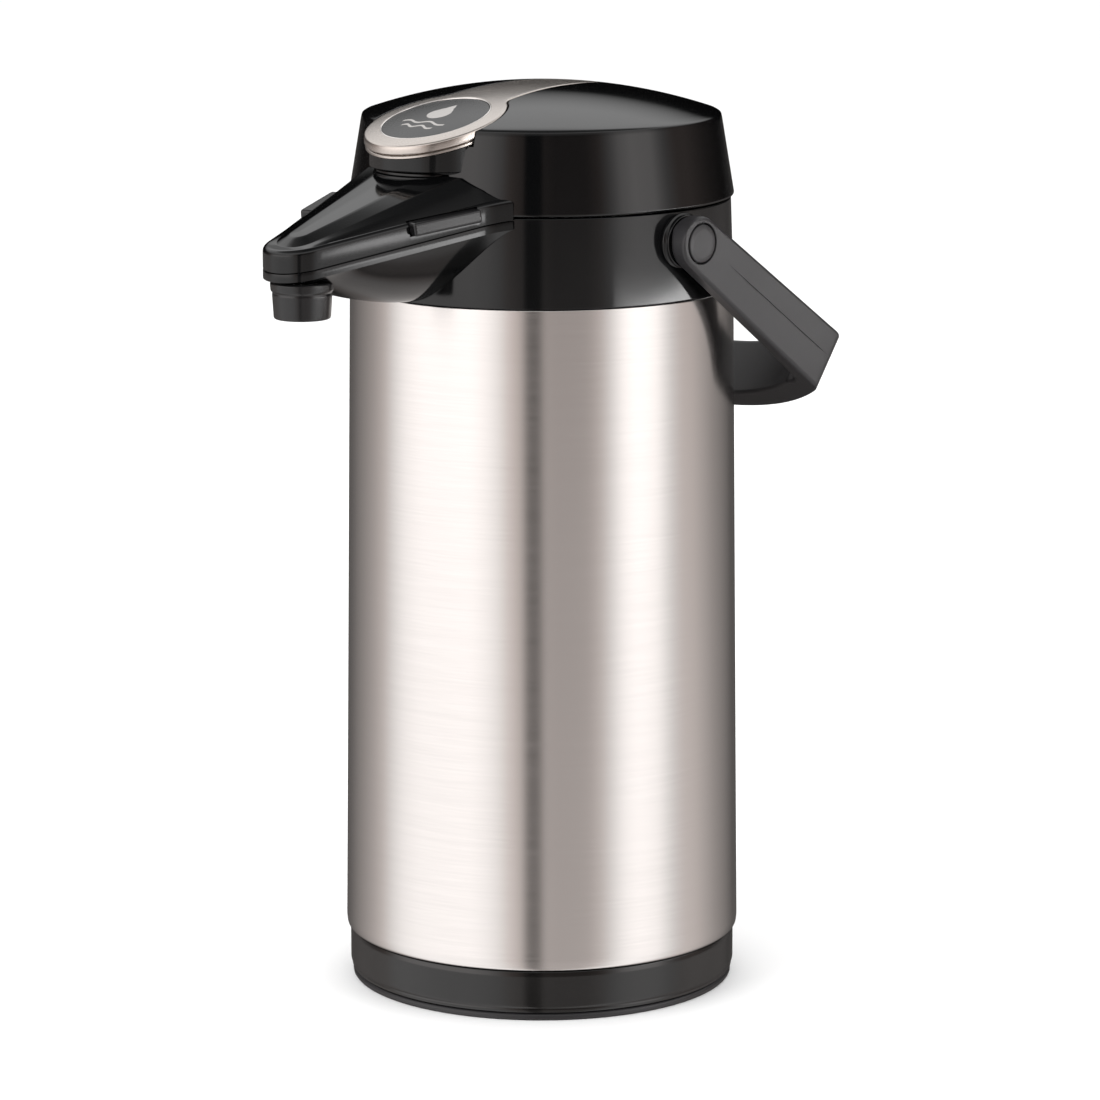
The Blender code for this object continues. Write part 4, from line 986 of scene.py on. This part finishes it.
def bail_half_width(y):
    if y < 0:
        return math.sqrt(max(ARM_ROOT_RADIUS ** 2 - y ** 2, 0))
    return ARM_ROOT_RADIUS + (ARM_TIP_HALF_WIDTH - ARM_ROOT_RADIUS) * min(y / CORNER_REACH, 1)


def bail_section(outer, inner, half_width, crease):
    """Ring of a station: a rounded bar with a fine parting groove along its outer face."""
    across = inner - outer
    ease = min(0.0017, 0.45 * half_width + 0.00005)
    ease_t = min(ease / across.length, 0.45)
    ring_points = []
    for depth_end, side in ((0, -1), (1, -1), (1, 1), (0, 1)):
        for k in range(6):
            angle = math.radians(18 * k)
            along_depth, along_side = ease_t * (1 - math.sin(angle)), ease * (1 - math.cos(angle))
            if (depth_end, side) in ((0, -1), (1, 1)):
                along_depth, along_side = ease_t * (1 - math.cos(angle)), ease * (1 - math.sin(angle))
            t = along_depth if depth_end == 0 else 1 - along_depth
            ring_points.append((t, side * (half_width - along_side)))
    middle = 0.10 * half_width
    ring_points += [(0, middle + CREASE_WIDTH / 2), (crease, middle), (0, middle - CREASE_WIDTH / 2)]
    return [(outer + across * t, height) for t, height in ring_points]


def make_handle():
    stations = bail_stations()
    mirrored = [(Vector((-o.x, o.y)), Vector((-i.x, i.y))) for o, i in reversed(stations[:-1])]
    bm = bmesh.new()
    rings = []
    for outer, inner in stations + mirrored:
        reach = outer.y
        fade_in = min(max((reach - 0.012) / 0.020, 0), 1)
        fade_out = min(max((CORNER_REACH - 0.004 - reach) / 0.012, 0), 1)
        crease = CREASE_DEPTH * fade_in * fade_out
        points = bail_section(outer, inner, bail_half_width(reach), crease)
        rings.append([bm.verts.new((spot.x, spot.y, height)) for spot, height in points])
    skin(bm, rings)
    bm.faces.new(rings[0])
    bm.faces.new(rings[-1])
    bmesh.ops.remove_doubles(bm, verts=bm.verts, dist=0.00002)
    outward(bm)
    bm.transform(Matrix.Translation((0, 0, PIVOT_Z)) @ Matrix.Rotation(HANDLE_ANGLE, 4, "X"))
    sinks = []
    for side in (1, -1):
        place = along((side, 0, 0), (side * (ARM_OUTER_X - 0.0026), 0, PIVOT_Z))
        profile = [(0, 0), (CAP_RADIUS + 0.0006, 0), (CAP_RADIUS + 0.0006, 0.0022),
                   (CAP_RADIUS + 0.0008, 0.0025), (CAP_RADIUS + 0.0014, 0.0030),
                   (CAP_RADIUS + 0.0014, 0.0060), (0, 0.0060)]
        sinks.append(turned_mesh(profile, SMALL_ROUND, False, place))
    piece("bail", carved(bm, cuts(*sinks)), "satin", "handle", ["handle"], sharp=38)
    for name, side in (("right", 1), ("left", -1)):
        place = along((side, 0, 0), (side * SHAFT_INNER_X, 0, PIVOT_Z))
        length = ARM_OUTER_X + 0.0004 - SHAFT_INNER_X
        turned(f"pivot_cap_{name}",
               [(0, 0), (0.0045, 0), (0.0045, length - 0.0027), (CAP_RADIUS, length - 0.0027, 0.0002),
                (CAP_RADIUS, length - 0.0003, 0.0006), (0.0058, length, 0.0004), (0, length)],
               "satin", "body", [f"handle_pin_{name}"], closed=False, steps=96, matrix=place)


# ------------------------------------------------------------------ CAD nodes that stay
def dress_cad():
    looks = {"turntable_ring": "seal", "swivel_pin": "pin", "flask_outer_wall": "flask",
             "flask_cushion": "rubber", "bellows": "rubber", "bellows_plate": "satin",
             "return_spring": "pin"}
    for node, look in looks.items():
        for place in frame["nodes"][node].material_slots:
            place.material = LOOKS[look]


# ------------------------------------------------------------------ floor, light and camera
CAMERA_AZIMUTH = math.radians(43.42)
CAMERA_DISTANCE = 2.057
CAMERA_HEIGHT = 0.592
AIM = Vector((0.0030, 0.0019, 0.1824))
LENS = 162.8
EVEN_LIGHT = 1.05
LAMP_DISTANCE = 1.6
LAMP_AIM_Z = 0.18
LAMPS = (("key", -52, 1.5, 1.2, 14), ("fill", 62, 1.1, 1.2, 8), ("top", 180, 2.0, 1.6, 10))


def make_floor():
    bm = bmesh.new()
    bmesh.ops.create_circle(bm, cap_ends=True, radius=30.0, segments=96)
    floor = placed("floor", mesh_of("floor", bm))
    look = bpy.data.materials.new("pale_floor")
    look.use_nodes = True
    shader = look.node_tree.nodes["Principled BSDF"]
    shader.inputs["Base Color"].default_value = (0.97, 0.97, 0.97, 1)
    shader.inputs["Roughness"].default_value = 0.9
    shader.inputs["Specular IOR Level"].default_value = 0.0
    floor.data.materials.append(look)
    floor.visible_glossy = False


def make_world():
    """Even white light, with soft boxes and dark cards standing round the object in its reflections."""
    world = bpy.data.worlds.new("studio")
    bpy.context.scene.world = world
    nodes = Nodes(world)
    nodes.tree.nodes.clear()
    direction = nodes.add("ShaderNodeTexCoord").outputs["Generated"]

    def part_along(x, y, z):
        dot = nodes.add("ShaderNodeVectorMath", operation="DOT_PRODUCT")
        dot.inputs[1].default_value = (x, y, z)
        nodes.link(direction, dot.inputs[0])
        return dot.outputs["Value"]

    sine, cosine = math.sin(CAMERA_AZIMUTH), math.cos(CAMERA_AZIMUTH)
    rightward, forward = part_along(cosine, sine, 0), part_along(sine, -cosine, 0)
    upward = part_along(0, 0, 1)
    turn = nodes.sum(nodes.sum(rightward, forward, "ARCTAN2"), 2 * math.pi, "DIVIDE")
    turn = nodes.sum(turn, 0.5)
    warm, cool = (1.0, 0.93, 0.90), (1.0, 0.985, 0.98)
    # degrees round from the camera, brightness and tint
    bands = [(-180, 0.07, warm), (-160, 0.12, warm), (-150, 0.18, warm), (-134, 0.36, warm),
             (-120, 0.55, warm), (-108, 0.80, warm), (-98, 1.12, cool), (-89, 1.34, cool),
             (-76, 1.44, cool), (-42, 1.46, cool), (-32, 1.36, cool), (-25, 1.20, cool), (-19, 1.00, warm),
             (-11, 0.80, warm), (-9, 0.18, warm), (-1.5, 0.20, warm), (1.5, 0.72, warm), (8, 0.62, warm),
             (27, 0.63, warm), (35, 0.82, warm), (42, 1.09, cool), (49, 1.38, cool), (58, 1.50, cool),
             (72, 1.42, cool), (83, 1.02, cool), (92, 0.85, warm), (101, 0.80, warm), (110, 0.66, warm),
             (123, 0.45, warm), (138, 0.28, warm), (152, 0.12, warm), (180, 0.07, warm)]
    around = nodes.ramp(turn, [((a + 180) / 360, tuple(0.5 * v * c for c in tint)) for a, v, tint in bands])
    overhead = nodes.grey_ramp(upward, [(0.30, 0), (0.52, 0.60), (0.70, 0.85), (0.82, 0.22), (1.0, 0.04)])
    low_part = nodes.grey_ramp(upward, [(0.20, 1), (0.45, 0.25), (1.0, 0.05)])
    harder = nodes.add("ShaderNodeGamma")
    harder.inputs["Gamma"].default_value = 3.0
    nodes.link(around, harder.inputs["Color"])
    lifted = nodes.add("ShaderNodeVectorMath", operation="SCALE")
    lifted.inputs["Scale"].default_value = 3.3
    nodes.link(harder.outputs["Color"], lifted.inputs[0])
    near_level = nodes.remap(upward, 0.0, 1.0, -0.12, -0.02)
    level = nodes.mix("MIX", around, lifted.outputs["Vector"], near_level)
    total = nodes.mix("ADD", nodes.mix("MULTIPLY", level, low_part), overhead)
    mirrored = nodes.add("ShaderNodeBackground")
    mirrored.inputs["Strength"].default_value = 2.0
    nodes.link(total, mirrored.inputs["Color"])
    even = nodes.add("ShaderNodeBackground")
    even.inputs["Color"].default_value = (1, 1, 1, 1)
    even.inputs["Strength"].default_value = EVEN_LIGHT
    rays = nodes.add("ShaderNodeLightPath")
    mix = nodes.add("ShaderNodeMixShader")
    nodes.link(rays.outputs["Is Glossy Ray"], mix.inputs["Fac"])
    nodes.link(even.outputs["Background"], mix.inputs[1])
    nodes.link(mirrored.outputs["Background"], mix.inputs[2])
    output = nodes.add("ShaderNodeOutputWorld")
    nodes.link(mix.outputs["Shader"], output.inputs["Surface"])


def area_lamp(name, power, azimuth, distance, height, aim_z):
    """An area lamp at an angle round from the camera, aimed at a height of the object's axis."""
    lamp = bpy.data.lights.new(name, "AREA")
    lamp.energy = power
    made = placed(name, lamp)
    angle = CAMERA_AZIMUTH + math.radians(azimuth)
    made.location = (distance * math.sin(angle), -distance * math.cos(angle), height)
    made.rotation_euler = (Vector((0, 0, aim_z)) - made.location).to_track_quat("-Z", "Y").to_euler()
    return made


def make_lamps():
    for name, azimuth, height, size, power in LAMPS:
        made = area_lamp(name, power, azimuth, LAMP_DISTANCE, height, LAMP_AIM_Z)
        made.data.size = size
        made.visible_glossy = False


def make_card(name, azimuth, distance, target_z, size, power, spread):
    """A soft box seen only in reflections, and in no reflection of the steel body."""
    lit = bpy.data.collections.new(f"{name}_receivers")
    for shown in bpy.context.scene.objects:
        if shown.type == "MESH" and shown.name != "steel_body":
            lit.objects.link(shown)
    fall = (CAMERA_HEIGHT - target_z) / CAMERA_DISTANCE
    made = area_lamp(name, power, azimuth, distance, target_z - distance * fall, target_z)
    made.data.shape = "RECTANGLE"
    made.data.size, made.data.size_y = size
    made.data.spread = math.radians(spread)
    made.visible_camera = False
    made.visible_diffuse = False
    made.light_linking.receiver_collection = lit


def make_camera():
    data = bpy.data.cameras.new("camera")
    data.lens = LENS
    data.sensor_width = 36.0
    camera = placed("camera", data)
    camera.location = (CAMERA_DISTANCE * math.sin(CAMERA_AZIMUTH),
                       -CAMERA_DISTANCE * math.cos(CAMERA_AZIMUTH), CAMERA_HEIGHT)
    camera.rotation_euler = (AIM - camera.location).to_track_quat("-Z", "Y").to_euler()
    bpy.context.scene.camera = camera


# ------------------------------------------------------------------ scene
make_body()
make_collar()
make_spout()
make_lid()
make_lever()
make_inside()
make_handle()
dress_cad()
make_floor()
make_world()
make_lamps()
make_card("collar_card", 76, 0.80, 0.316, (1.10, 0.040), 0.42, 72)
make_camera()
bpy.context.scene.view_settings.view_transform = "Standard"
